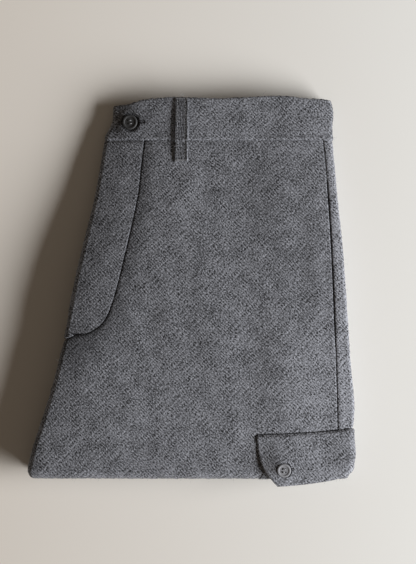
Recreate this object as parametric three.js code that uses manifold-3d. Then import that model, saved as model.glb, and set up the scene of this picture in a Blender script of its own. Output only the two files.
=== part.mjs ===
import * as THREE from "three";
import { mergeVertices } from "three/addons/utils/BufferGeometryUtils.js";
import Module from "manifold-3d";

// Wool twill cargo trousers, buttoned and folded for a shelf: doubled along the centre front, so that one
// front lies on top, then the legs doubled under at the crotch and once more at the knee.
// Millimetres, +Z up, resting on Z = 0. +Y points to the waistband and +X to the side seam.
// Pieces are laid out flat first, as they would be cut, and "foldOver" rolls what lies past a fold line
// under the stack. A depth is measured into the stack from the outer face of the top cloth.

// Cloth and gaps
const clothThickness = 2.0;
const seamGap = 0.3;
const seamRoll = 0.8; // how far a panel dips into a seam
const seamRollWidth = 2.4;
const coreClearance = 0.95; // between the top cloth and the layers under it

// The stack
const rightFoldRadius = 3.2; // two layers turn here, beside the side seam
const legFoldRadius = 8.8; // eight layers turn here, at the crotch
const legFoldStart = -160.0; // Y where the top cloth starts to turn under
const tuck = 0.95; // share of the half turn that a panel makes round a fold
const waistSeamY = 135.0;

// Waistband, fly and loop
const waistbandLift = 1.0;
const flyLift = 0.8;
const loopWidth = 11.7;
const loopThickness = 1.6;
const loopGap = 0.9;
const loopTop = { x: -9.0, y: 173.6 };
const loopFoot = { x: -10.8, y: 115.4 };

// Cargo pocket and flap
const flapThickness = 2.0;
const flapRise = 1.5; // how far the flap's lower part stands off the panel
const flapDroopRadius = 30.0; // curve of the flap past the leg fold
const pocketTopY = -142.0;
const pocketThickness = 1.0;

// Buttons
const waistButton = { x: -55.3, y: 151.4, diameter: 13.5 };
const flapButton = { x: 82.5, y: -160.2, diameter: 12.5 };
const buttonThickness = 2.0;
const buttonRim = 1.7;
const buttonDish = 0.55;
const buttonClearance = 0.1; // on top of the seam gap, as the cloth under a button bows
const threadHoleRadius = 0.75;
const threadHoleSpacing = 2.9;

// Along the stack, from the waist to the leg fold: its height, how far the top cloth falls to the left
// edge, and half the thickness of the four layers that turn there, at the centre front
const stackTable = [
  { y: 175.0, height: 17.2, fall: 2.0, radius: 3.3 },
  { y: 130.0, height: 18.0, fall: 2.6, radius: 3.5 },
  { y: 80.0, height: 23.2, fall: 4.4, radius: 4.0 },
  { y: 20.0, height: 28.4, fall: 5.6, radius: 4.7 },
  { y: -60.0, height: 30.8, fall: 4.4, radius: 5.2 },
  { y: -160.0, height: 31.0, fall: 3.0, radius: 5.5 },
];
// Near the left edge the cloth starts to round over: how far inside the edge, and how deep it goes
const leftRoundTable = [
  { y: 175.0, reach: 58.0, drop: 2.6 },
  { y: 135.0, reach: 54.0, drop: 2.4 },
  { y: 110.0, reach: 34.0, drop: 1.6 },
  { y: 20.0, reach: 30.0, drop: 1.4 },
  { y: -60.0, reach: 34.0, drop: 1.6 },
  { y: -160.0, reach: 30.0, drop: 1.4 },
];

// Outline of the folded trousers, seen from above
const leftEdgeTable = [
  { y: 176.0, x: -68.6 },
  { y: 163.0, x: -69.8 },
  { y: 152.0, x: -70.6 },
  { y: 145.5, x: -73.4 },
  { y: 141.0, x: -76.4 },
  { y: 135.0, x: -77.8 },
  { y: 117.0, x: -80.8 },
  { y: 81.0, x: -87.2 },
  { y: 45.0, x: -95.9 },
  { y: 9.0, x: -104.2 },
  { y: -27.0, x: -111.4 },
  { y: -45.0, x: -115.0 },
  { y: -81.0, x: -123.4 },
  { y: -117.0, x: -134.6 },
  { y: -143.0, x: -143.0 },
  { y: -160.0, x: -147.0 },
];
const rightEdgeTable = [
  { y: 176.0, x: 127.4 },
  { y: 160.0, x: 127.6 },
  { y: 147.0, x: 126.2 },
  { y: 134.0, x: 127.2 },
  { y: 81.0, x: 131.5 },
  { y: 45.0, x: 135.2 },
  { y: 9.0, x: 137.8 },
  { y: -63.0, x: 142.4 },
  { y: -115.0, x: 146.2 },
  { y: -135.0, x: 145.2 },
  { y: -160.0, x: 143.4 },
];
const waistEdgeTable = [
  { x: -80.0, y: 166.6 },
  { x: -69.0, y: 166.8 },
  { x: -57.0, y: 167.7 },
  { x: -50.0, y: 170.2 },
  { x: -40.0, y: 172.3 },
  { x: -20.0, y: 174.0 },
  { x: 8.0, y: 173.4 },
  { x: 26.0, y: 173.0 },
  { x: 44.0, y: 173.8 },
  { x: 62.0, y: 174.8 },
  { x: 74.0, y: 175.2 },
  { x: 88.0, y: 174.9 },
  { x: 100.0, y: 173.3 },
  { x: 118.0, y: 172.3 },
  { x: 140.0, y: 169.8 },
];
const sideSeamTable = [
  { y: 136.0, x: 118.6 },
  { y: 103.0, x: 121.6 },
  { y: 67.0, x: 124.2 },
  { y: 2.0, x: 127.1 },
  { y: -49.0, x: 128.9 },
  { y: -95.0, x: 130.2 },
  { y: -125.0, x: 130.9 },
  { y: -190.0, x: 131.8 },
];
// The J-shaped line of the fly, from the waistband to where it turns round the centre front
const flyLineTable = [
  { x: -41.6, y: 136.0 },
  { x: -45.1, y: 110.0 },
  { x: -47.8, y: 88.0 },
  { x: -51.5, y: 69.0 },
  { x: -56.6, y: 46.0 },
  { x: -62.0, y: 23.0 },
  { x: -66.4, y: 5.0 },
  { x: -70.4, y: -9.0 },
  { x: -75.4, y: -22.0 },
  { x: -81.8, y: -31.0 },
  { x: -90.6, y: -36.8 },
  { x: -98.5, y: -39.2 },
  { x: -106.0, y: -40.9 },
  { x: -112.0, y: -42.4 },
  { x: -126.0, y: -45.2 },
];
// Left edge of the fly: tucked round the centre front above, cut back at its lower end
const flyEdgeTable = [
  { y: 140.0, past: 14.9 },
  { y: 8.0, past: 14.9 },
  { y: -4.0, past: 12.5 },
  { y: -14.0, past: 8.6 },
  { y: -22.0, past: 5.8 },
  { y: -29.0, past: 4.2 },
  { y: -35.0, past: 2.4 },
  { y: -39.0, past: -1.8 },
  { y: -41.0, past: -6.0 },
];
// The flap of the cargo pocket: its seam, its free edges and its point
const flapSeamTable = [
  { x: 50.0, y: -129.4 },
  { x: 59.0, y: -129.2 },
  { x: 92.0, y: -127.8 },
  { x: 122.0, y: -126.0 },
  { x: 140.0, y: -123.8 },
  { x: 165.0, y: -122.0 },
];
const flapHemTable = [
  { x: 50.0, y: -175.6 },
  { x: 77.0, y: -175.4 },
  { x: 100.0, y: -173.8 },
  { x: 123.0, y: -170.7 },
  { x: 136.0, y: -165.8 },
  { x: 146.0, y: -160.6 },
  { x: 165.0, y: -157.0 },
];
const flapSideTable = [
  { along: 0.0, x: 58.0 },
  { along: 0.3, x: 59.2 },
  { along: 0.6, x: 63.2 },
  { along: 0.8, x: 69.2 },
  { along: 1.0, x: 77.0 },
];
const pocketSideTable = [
  { y: -142.0, x: 71.0 },
  { y: -158.0, x: 66.4 },
  { y: -170.0, x: 61.4 },
  { y: -190.0, x: 58.0 },
];
// Soft ridges and troughs of the top cloth: where they lie, how wide and how high
const swellTable = [
  { x: -14.0, y: 60.0, halfWidth: 24.0, halfLength: 90.0, height: 0.55 },
  { x: 50.0, y: 95.0, halfWidth: 20.0, halfLength: 60.0, height: -0.85 },
  { x: 78.0, y: 60.0, halfWidth: 16.0, halfLength: 60.0, height: 0.35 },
  { x: 22.0, y: -40.0, halfWidth: 18.0, halfLength: 60.0, height: 0.75 },
  { x: 54.0, y: -49.0, halfWidth: 13.0, halfLength: 44.0, height: -0.55 },
  { x: 86.0, y: -84.0, halfWidth: 27.0, halfLength: 56.0, height: 1.7 },
  { x: -70.0, y: -100.0, halfWidth: 40.0, halfLength: 36.0, height: 0.6 },
];

const lerp = (a, b, t) => a + (b - a) * t;
const clamp = (v, low, high) => Math.min(high, Math.max(low, v));
const smooth = (t) => clamp(t, 0, 1) ** 2 * (3 - 2 * clamp(t, 0, 1));

// A smooth function through a table's points: column "value" against column "key"
function through(table, key, value) {
  const rows = [...table].sort((a, b) => a[key] - b[key]);
  const slope = rows.map((_, i) => {
    const before = rows[Math.max(0, i - 1)];
    const after = rows[Math.min(rows.length - 1, i + 1)];
    return (after[value] - before[value]) / (after[key] - before[key]);
  });
  return (at) => {
    const k = clamp(at, rows[0][key], rows[rows.length - 1][key]);
    const i = Math.min(rows.length - 2, Math.max(0, rows.findIndex((r) => r[key] >= k) - 1));
    const span = rows[i + 1][key] - rows[i][key];
    const t = (k - rows[i][key]) / span;
    const bow = t * (1 - t) * span;
    return (
      lerp(rows[i][value], rows[i + 1][value], smooth(t)) +
      bow * (slope[i] * (1 - t) - slope[i + 1] * t)
    );
  };
}

// The points of a line, moved sideways: positive is to the right of the way the line runs
function movedLine(points, distance) {
  return points.map((p, i) => {
    const before = points[Math.max(0, i - 1)];
    const after = points[Math.min(points.length - 1, i + 1)];
    const run = Math.hypot(after.x - before.x, after.y - before.y);
    return {
      x: p.x + (distance * (after.y - before.y)) / run,
      y: p.y - (distance * (after.x - before.x)) / run,
    };
  });
}

const leftEdge = through(leftEdgeTable, "y", "x");
const rightEdge = through(rightEdgeTable, "y", "x");
const waistEdge = through(waistEdgeTable, "x", "y");
const sideSeam = through(sideSeamTable, "y", "x");
const flyEdge = through(flyEdgeTable, "y", "past");
const flapSeam = through(flapSeamTable, "x", "y");
const flapHem = through(flapHemTable, "x", "y");
const flapSide = through(flapSideTable, "along", "x");
const pocketSide = through(pocketSideTable, "y", "x");
const flyLineOnPanel = through(movedLine(flyLineTable, -seamGap / 2), "y", "x");
const flyLineOnFly = through(movedLine(flyLineTable, seamGap / 2), "y", "x");

const stackHeight = through(stackTable, "y", "height");
const leftFall = through(stackTable, "y", "fall");
const leftRadius = through(stackTable, "y", "radius");
const roundReach = through(leftRoundTable, "y", "reach");
const roundDrop = through(leftRoundTable, "y", "drop");

const leftFold = (y) => leftEdge(y) + leftRadius(y);
const rightFold = (y) => rightEdge(y) - rightFoldRadius;
const leftTuck = (y) => Math.PI * leftRadius(y) * tuck;
const rightTuck = Math.PI * rightFoldRadius * tuck;
const legTuckY = legFoldStart - Math.PI * legFoldRadius * tuck;

// Height of the top cloth's outer face: a low dome that falls most towards the fly
function topHeight(x, y) {
  const across = clamp((x - leftEdge(y)) / (rightEdge(y) - leftEdge(y)), 0, 1);
  const along = clamp((y - legFoldStart) / (waistEdge(x) - legFoldStart), 0, 1);
  const fallLeft = leftFall(y) * (1 - across) ** 5;
  const fallRight = 3.6 * across ** 6;
  const fallEnds = 2.2 * (1 - along) ** 6 + 2.0 * along ** 6;
  const inside = clamp(1 - (x - leftEdge(y)) / roundReach(y), 0, 1);
  const fallOver = roundDrop(y) * inside ** 2.2;
  const swells = swellTable.reduce((sum, s) => {
    const away = ((x - s.x) / s.halfWidth) ** 2 + ((y - s.y) / s.halfLength) ** 2;
    return sum + s.height * Math.exp(-away);
  }, 0);
  return stackHeight(y) - fallLeft - fallOver - fallRight - fallEnds + swells;
}

// Half the thickness of the fold, for a turn that heads between the side and the crotch
function foldRadius(sideRadius, heading) {
  return 1 / Math.hypot(Math.cos(heading) / sideRadius, Math.sin(heading) / legFoldRadius);
}

// A point of the flat layout, at a depth, on the folded trousers
function foldOver(x, y, depth) {
  const baseY = Math.max(y, legFoldStart);
  const baseX = clamp(x, leftFold(baseY), rightFold(baseY));
  const sideRadius = x < baseX ? leftRadius(baseY) : rightFoldRadius;
  const overSide = Math.abs(x - baseX) / (Math.PI * sideRadius);
  const overLegs = (baseY - y) / (Math.PI * legFoldRadius);
  const turn = Math.max(overSide, overLegs) * Math.PI;
  const top = topHeight(baseX, baseY);
  if (turn === 0) return new THREE.Vector3(x, y, top - depth);
  const heading =
    overSide >= overLegs
      ? ((overLegs / overSide) * Math.PI) / 4
      : Math.PI / 2 - ((overSide / overLegs) * Math.PI) / 4;
  const radius = foldRadius(sideRadius, heading);
  const reach = (radius - depth) * Math.sin(turn);
  const side = x < baseX ? -1 : 1;
  return new THREE.Vector3(
    baseX + side * Math.cos(heading) * reach,
    baseY - Math.sin(heading) * reach,
    top - radius + (radius - depth) * Math.cos(turn),
  );
}

// The flap is stiff, so it runs out over the leg fold like a shelf and only droops a little
function standOut(x, y, depth) {
  const past = Math.max(0, legFoldStart - y);
  const point = foldOver(x, Math.max(y, legFoldStart), depth);
  point.y -= past;
  point.z -= past ** 2 / (2 * flapDroopRadius);
  return point;
}

// One closed cloth wall from two grids of points, [row][column], rows running to -Y and columns to +X
function wall(outer, inner) {
  const rows = outer.length;
  const columns = outer[0].length;
  const positions = [...outer.flat(), ...inner.flat()].flatMap((p) => [p.x, p.y, p.z]);
  const id = (row, column, face) => face * rows * columns + row * columns + column;
  const index = [];
  const quad = (a, b, c, d) => index.push(a, b, c, a, c, d);
  for (let r = 0; r < rows - 1; r++)
    for (let c = 0; c < columns - 1; c++) {
      quad(id(r, c, 0), id(r + 1, c, 0), id(r + 1, c + 1, 0), id(r, c + 1, 0));
      quad(id(r, c, 1), id(r, c + 1, 1), id(r + 1, c + 1, 1), id(r + 1, c, 1));
    }
  for (let c = 0; c < columns - 1; c++) {
    quad(id(0, c, 0), id(0, c + 1, 0), id(0, c + 1, 1), id(0, c, 1));
    quad(id(rows - 1, c, 0), id(rows - 1, c, 1), id(rows - 1, c + 1, 1), id(rows - 1, c + 1, 0));
  }
  for (let r = 0; r < rows - 1; r++) {
    quad(id(r, 0, 0), id(r, 0, 1), id(r + 1, 0, 1), id(r + 1, 0, 0));
    quad(id(r, columns - 1, 0), id(r + 1, columns - 1, 0), id(r + 1, columns - 1, 1), id(r, columns - 1, 1));
  }
  const geometry = new THREE.BufferGeometry();
  geometry.setAttribute("position", new THREE.Float32BufferAttribute(positions, 3));
  geometry.setIndex(index);
  geometry.computeVertexNormals();
  return geometry;
}

// Columns of a row: close together over each end, where it rolls or turns, and wide apart between
function columnsOf(left, right, y, counts) {
  const baseY = Math.max(y, legFoldStart);
  const width = right - left;
  const endZone = Math.min(6.0, width * 0.2);
  const first = clamp(leftFold(baseY) + 1, left + endZone, left + width * 0.7);
  const last = clamp(rightFold(baseY) - 1, first + width * 0.03, right - endZone);
  const stretch = (from, to, count) =>
    Array.from({ length: count }, (_, k) => lerp(from, to, k / count));
  return [
    ...stretch(left, first, counts.left),
    ...stretch(first, last, counts.middle),
    ...stretch(last, right, counts.right),
    right,
  ];
}

// A panel cut between two edges, given as functions of Y. "rolled" names the edges that dip into a seam.
function panel({ rowsY, left, right, counts, lift = 0, thickness = clothThickness, rolled = [] }) {
  const outer = [];
  const inner = [];
  const topY = rowsY[0];
  const rollAt = (edge, distance) =>
    rolled.includes(edge) ? seamRoll * Math.max(0, 1 - distance / seamRollWidth) ** 2 : 0;
  for (const y of rowsY) {
    const from = left(y);
    const to = right(y);
    const columns = columnsOf(from, to, y, counts);
    outer.push(
      columns.map((x) => {
        const roll = rollAt("left", x - from) + rollAt("right", to - x) + rollAt("top", topY - y);
        return foldOver(x, y, -lift + Math.min(roll, seamRoll));
      }),
    );
    inner.push(columns.map((x) => foldOver(x, y, thickness - lift)));
  }
  return wall(outer, inner);
}

const legRowsY = [0.04, 0.16, 0.28, 0.4, 0.52, 0.64, 0.76, 0.88, 1.0].map((share) =>
  lerp(legFoldStart, legTuckY, share),
);
const bodyTopY = waistSeamY - seamGap / 2;
const bodyRowsY = [
  bodyTopY, 133.6, 132.2, 120, 104, 88, 70, 52, 34, 18, 4, -8, -16, -22, -27, -31, -34, -36.5, -38.2, -39.4,
  -40.4, -41.2, -42.2, -43.4, -44.8, -52, -66, -82, -98, -114, -128, -140, -150, legFoldStart,
  ...legRowsY,
];

function frontPanel() {
  return panel({
    rowsY: bodyRowsY,
    left: (y) => {
      const foldY = Math.max(y, legFoldStart);
      const tucked = leftFold(foldY) - leftTuck(foldY);
      return y < -45 ? tucked : Math.max(flyLineOnPanel(y), tucked);
    },
    right: (y) => sideSeam(y) - seamGap / 2,
    counts: { left: 6, middle: 10, right: 3 },
    rolled: ["left", "right", "top"],
  });
}

function backPanel() {
  return panel({
    rowsY: bodyRowsY.filter((y) => y > -8 || y < -44).concat(-20, -34).sort((a, b) => b - a),
    left: (y) => sideSeam(y) + seamGap / 2,
    right: (y) => rightFold(Math.max(y, legFoldStart)) + rightTuck,
    counts: { left: 2, middle: 2, right: 5 },
    rolled: ["left", "top"],
  });
}

function flyFront() {
  return panel({
    rowsY: [bodyTopY, 133.6, 132.2, 118, 100, 82, 64, 46, 28, 14, 4, -5, -13, -20, -26, -30.5, -34, -36.4, -38.2],
    left: (y) => leftFold(y) - flyEdge(y),
    right: (y) => flyLineOnFly(y),
    counts: { left: 6, middle: 3, right: 3 },
    lift: flyLift,
    rolled: ["right", "top"],
  });
}

// The narrow end of the underlap, which shows beside the fly's lower end
function flyShield() {
  return panel({
    rowsY: [-4, -8, -14, -20, -25, -30, -34, -37, -39, -40.6, -42, -43],
    left: (y) => leftFold(y) - leftTuck(y),
    right: (y) => Math.min(leftFold(y) - flyEdge(y), flyLineOnFly(y)) - 2 * seamGap,
    counts: { left: 3, middle: 3, right: 3 },
  });
}

function waistband() {
  const shares = [0, 0.03, 0.08, 0.18, 0.28, 0.4, 0.52, 0.74, 0.92, 0.97, 1.0];
  const outerRolls = [seamRoll, 0.2, 0, 0, 0, 0, 0, 0, 0, 0.5, 1.5];
  const bottomY = waistSeamY + seamGap / 2;
  const gridAt = (depthOf) =>
    shares
      .map((share, k) => {
        const wrap = lerp(0.85, 0.55, smooth((share - 0.7) / 0.3));
        const levelY = lerp(bottomY, 170, share);
        const left = leftFold(levelY) - leftTuck(levelY) * wrap;
        const right = rightFold(levelY) + rightTuck * wrap;
        return columnsOf(left, right, levelY, { left: 6, middle: 12, right: 5 }).map((x) =>
          foldOver(x, lerp(bottomY, waistEdge(x), share), depthOf(k)),
        );
      })
      .reverse();
  const innerDepth = (k) => clothThickness - (k === shares.length - 1 ? 0.8 : 0);
  return wall(gridAt((k) => outerRolls[k] - waistbandLift), gridAt(innerDepth));
}

// The loop stands off the waistband between its two stitched ends, so that a belt can pass
function beltLoop() {
  const steps = 14;
  const outer = [];
  const inner = [];
  for (let k = 0; k <= steps; k++) {
    const t = k / steps;
    const x = lerp(loopTop.x, loopFoot.x, t);
    const y = lerp(loopTop.y, loopFoot.y, t);
    const groundLift = waistbandLift * smooth((y - waistSeamY + 2.5) / 3);
    const gap = seamGap + 0.1 + loopGap * (4 * t * (1 - t)) ** 0.6;
    const across = [-0.5, -0.3, 0, 0.3, 0.5].map((share) => x + share * loopWidth);
    const edgeDrop = [0.7, 0, 0, 0, 0.7];
    outer.push(across.map((px, i) => foldOver(px, y, -groundLift - gap - loopThickness + edgeDrop[i])));
    inner.push(across.map((px) => foldOver(px, y, -groundLift - gap)));
  }
  return wall(outer, inner);
}

function cargoPocket() {
  const rowsY = [pocketTopY, -150, legFoldStart, ...legRowsY.slice(0, 7)];
  const lift = pocketThickness + seamGap + 0.1;
  return panel({
    rowsY,
    left: (y) => pocketSide(y),
    right: (y) => rightFold(Math.max(y, legFoldStart)) + rightTuck,
    counts: { left: 2, middle: 6, right: 5 },
    lift,
    thickness: pocketThickness,
  });
}

// How far the flap's underside stands off the panel: little at its seam, and more at its hem and round
// the side
const flapStandOff = (x, along) => {
  const roundSide = 0.6 * smooth((x - 134) / 6);
  return seamGap + 0.1 + Math.max(flapRise * smooth(along / 0.35), roundSide);
};

function flapPoint(x, along, depth) {
  return standOut(x, lerp(flapSeam(x), flapHem(x), along), depth);
}

function cargoFlap() {
  const shares = [0, 0.04, 0.12, 0.24, 0.36, 0.5, 0.64, 0.76, 0.86, 0.94, 1.0];
  const hemRounding = [0.9, 0.2, 0, 0, 0, 0, 0, 0, 0, 0.3, 1.1];
  const outer = [];
  const inner = [];
  shares.forEach((along, k) => {
    const left = flapSide(along);
    const wrap = lerp(0.62, 0.5, smooth((along - 0.4) / 0.4));
    const right = rightFold(Math.max(lerp(-126, -168, along), legFoldStart)) + rightTuck * wrap;
    const columns = columnsOf(left, right, -150, { left: 3, middle: 5, right: 6 });
    outer.push(
      columns.map((x, i) => {
        const round = Math.max(hemRounding[k], i === 0 ? 0.8 : 0);
        return flapPoint(x, along, -flapStandOff(x, along) - flapThickness + round);
      }),
    );
    inner.push(columns.map((x) => flapPoint(x, along, -flapStandOff(x, along))));
  });
  return wall(outer, inner);
}

// A round closed mesh as a solid for joining and cutting
function solidOf(wasm, geometry) {
  const bare = geometry.index ? geometry.toNonIndexed() : geometry.clone();
  bare.deleteAttribute("normal");
  bare.deleteAttribute("uv");
  const merged = mergeVertices(bare, 1e-4);
  return new wasm.Manifold(
    new wasm.Mesh({
      numProp: 3,
      vertProperties: merged.attributes.position.array,
      triVerts: new Uint32Array(merged.index.array),
    }),
  );
}

function geometryOf(solid) {
  const mesh = solid.getMesh();
  const geometry = new THREE.BufferGeometry();
  geometry.setAttribute("position", new THREE.BufferAttribute(new Float32Array(mesh.vertProperties), 3));
  geometry.setIndex(new THREE.BufferAttribute(new Uint32Array(mesh.triVerts), 1));
  geometry.computeVertexNormals();
  return geometry;
}

// A four-hole button with a raised rim, its back on Z = 0 and its axis along +Z
function buttonGeometry(wasm, diameter) {
  const radius = diameter / 2;
  const profile = [
    [0, 0],
    [radius - 0.9, 0],
    [radius - 0.2, 0.2 * buttonThickness],
    [radius, 0.46 * buttonThickness],
    [radius - 0.1, 0.73 * buttonThickness],
    [radius - 0.4, 0.92 * buttonThickness],
    [radius - 0.8, buttonThickness],
    [radius - buttonRim, 0.95 * buttonThickness],
    [radius - buttonRim - 0.5, buttonThickness - buttonDish],
    [0, buttonThickness - buttonDish],
  ].map(([r, z]) => new THREE.Vector2(r, z));
  const body = new THREE.LatheGeometry(profile, 40).rotateX(Math.PI / 2);
  let solid = solidOf(wasm, body);
  if (solid.volume() < 0) throw new Error("the button's profile runs the wrong way");
  for (const sideX of [-1, 1])
    for (const sideY of [-1, 1]) {
      const hole = new THREE.CylinderGeometry(threadHoleRadius, threadHoleRadius, 3 * buttonThickness, 12)
        .rotateX(Math.PI / 2)
        .translate((sideX * threadHoleSpacing) / 2, (sideY * threadHoleSpacing) / 2, 0);
      solid = solid.subtract(solidOf(wasm, hole));
    }
  return geometryOf(solid);
}

// Sets a button down on a cloth face, tilted as the cloth is there
function seatButton(mesh, button, faceAt) {
  const step = button.diameter / 2;
  const middle = faceAt(button.x, button.y);
  const alongX = faceAt(button.x + step, button.y).sub(faceAt(button.x - step, button.y));
  const alongY = faceAt(button.x, button.y + step).sub(faceAt(button.x, button.y - step));
  const normal = alongX.cross(alongY).normalize();
  mesh.quaternion.setFromUnitVectors(new THREE.Vector3(0, 0, 1), normal);
  mesh.position.copy(middle).addScaledVector(normal, seamGap + buttonClearance);
}

// The layers under the top cloth, as one rounded solid. Each side lists the folds that show there, from
// the top down: what share of the height each takes, how far it lies inside the outline and how round it is.
const underSides = {
  left: {
    radius: leftRadius,
    slot: 12.5,
    narrower: 4.0,
    folds: [
      { share: 0.27, inset: 1.4, round: 1.5, steps: 5 },
      { share: 0.24, inset: 3.0, round: 1.4, steps: 5 },
      { share: 0.26, inset: 0.8, round: 1.5, steps: 5 },
      { share: 0.23, inset: 2.2, round: 1.4, steps: 5 },
    ],
  },
  legFold: {
    radius: () => legFoldRadius,
    slot: 16.0,
    narrower: 0,
    folds: [
      { share: 0.26, inset: 7.0, round: 0.9, steps: 5 },
      { share: 0.24, inset: 9.0, round: 0.9, steps: 5 },
      { share: 0.26, inset: 5.5, round: 0.9, steps: 5 },
      { share: 0.24, inset: 8.0, round: 0.9, steps: 5 },
    ],
  },
  right: {
    radius: () => rightFoldRadius,
    slot: 9.0,
    narrower: 0,
    folds: [
      { share: 0.21, inset: 0.6, round: 1.5, steps: 4 },
      { share: 0.2, inset: 2.0, round: 1.4, steps: 4 },
      { share: 0.2, inset: 0.9, round: 1.4, steps: 4 },
      { share: 0.2, inset: 2.8, round: 1.4, steps: 4 },
      { share: 0.19, inset: 1.6, round: 1.4, steps: 4 },
    ],
  },
  waist: {
    radius: () => 3.0,
    narrower: 0,
    folds: [
      { share: 0.24, inset: 0.5, round: 1.4, steps: 8, peeps: 1.9 },
      { share: 0.24, inset: 0.9, round: 1.4, steps: 7, peeps: 0 },
      { share: 0.26, inset: 1.5, round: 1.4, steps: 8, peeps: 0 },
      { share: 0.26, inset: 2.6, round: 1.4, steps: 7, peeps: 0 },
    ],
  },
};
const coreSteps = 8;
const innerCorner = 1.5;
const fallAngle = (85 * Math.PI) / 180;

// Room that the pieces wrapped round an edge need above the layers there
const roomTable = {
  left: [
    { y: 175, room: 2.0 },
    { y: 118, room: 2.0 },
    { y: 100, room: 1.4 },
    { y: -45, room: 1.4 },
    { y: -62, room: 0.6 },
    { y: -170, room: 0.6 },
  ],
  right: [
    { y: 175, room: 2.0 },
    { y: 118, room: 2.0 },
    { y: 98, room: 0.6 },
    { y: -110, room: 0.6 },
    { y: -132, room: 3.3 },
    { y: -170, room: 3.3 },
  ],
};
const roomFor = {
  left: through(roomTable.left, "y", "room"),
  right: through(roomTable.right, "y", "room"),
  legFold: () => 0.6,
};

// One side's edge, from under the top cloth down to the floor, as distances inside the outline and heights
function edgeProfile(sideName, top, y, alongWaist, alongLeft) {
  const side = underSides[sideName];
  const sideRadius = side.radius(y);
  const points = [];
  const coreDepth = clothThickness + coreClearance;
  let from = coreDepth;
  if (side.slot) {
    for (let k = 0; k < coreSteps; k++) {
      const t = k / (coreSteps - 1);
      const angle = lerp(Math.PI / 2, -Math.PI / 2, t);
      const coreRadius = (sideRadius - coreDepth) * (1 - 0.3 * t * t);
      points.push({
        inset: sideRadius - coreRadius * Math.cos(angle),
        z: top - sideRadius + coreRadius * Math.sin(angle),
      });
    }
    from = 2 * sideRadius + roomFor[sideName](y);
    points.push({ inset: side.slot, z: top - 2 * sideRadius + coreDepth });
    points.push({ inset: side.slot, z: top - from });
  }
  let high = top - from;
  const whole = high;
  for (const fold of side.folds) {
    const low = high - whole * fold.share;
    for (let k = 0; k < fold.steps; k++) {
      const angle = lerp(fallAngle, -fallAngle, k / (fold.steps - 1));
      const reach = side.slot ? side.narrower * alongLeft : 0;
      const peep = fold.peeps ? fold.peeps * alongWaist : 0;
      points.push({
        inset: fold.inset + reach - peep + fold.round * (1 - Math.cos(angle)),
        z: (high + low) / 2 + (((high - low) / 2) * Math.sin(angle)) / Math.sin(fallAngle),
      });
    }
    high = low;
  }
  points[points.length - 1].z = 0;
  return points;
}

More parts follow.
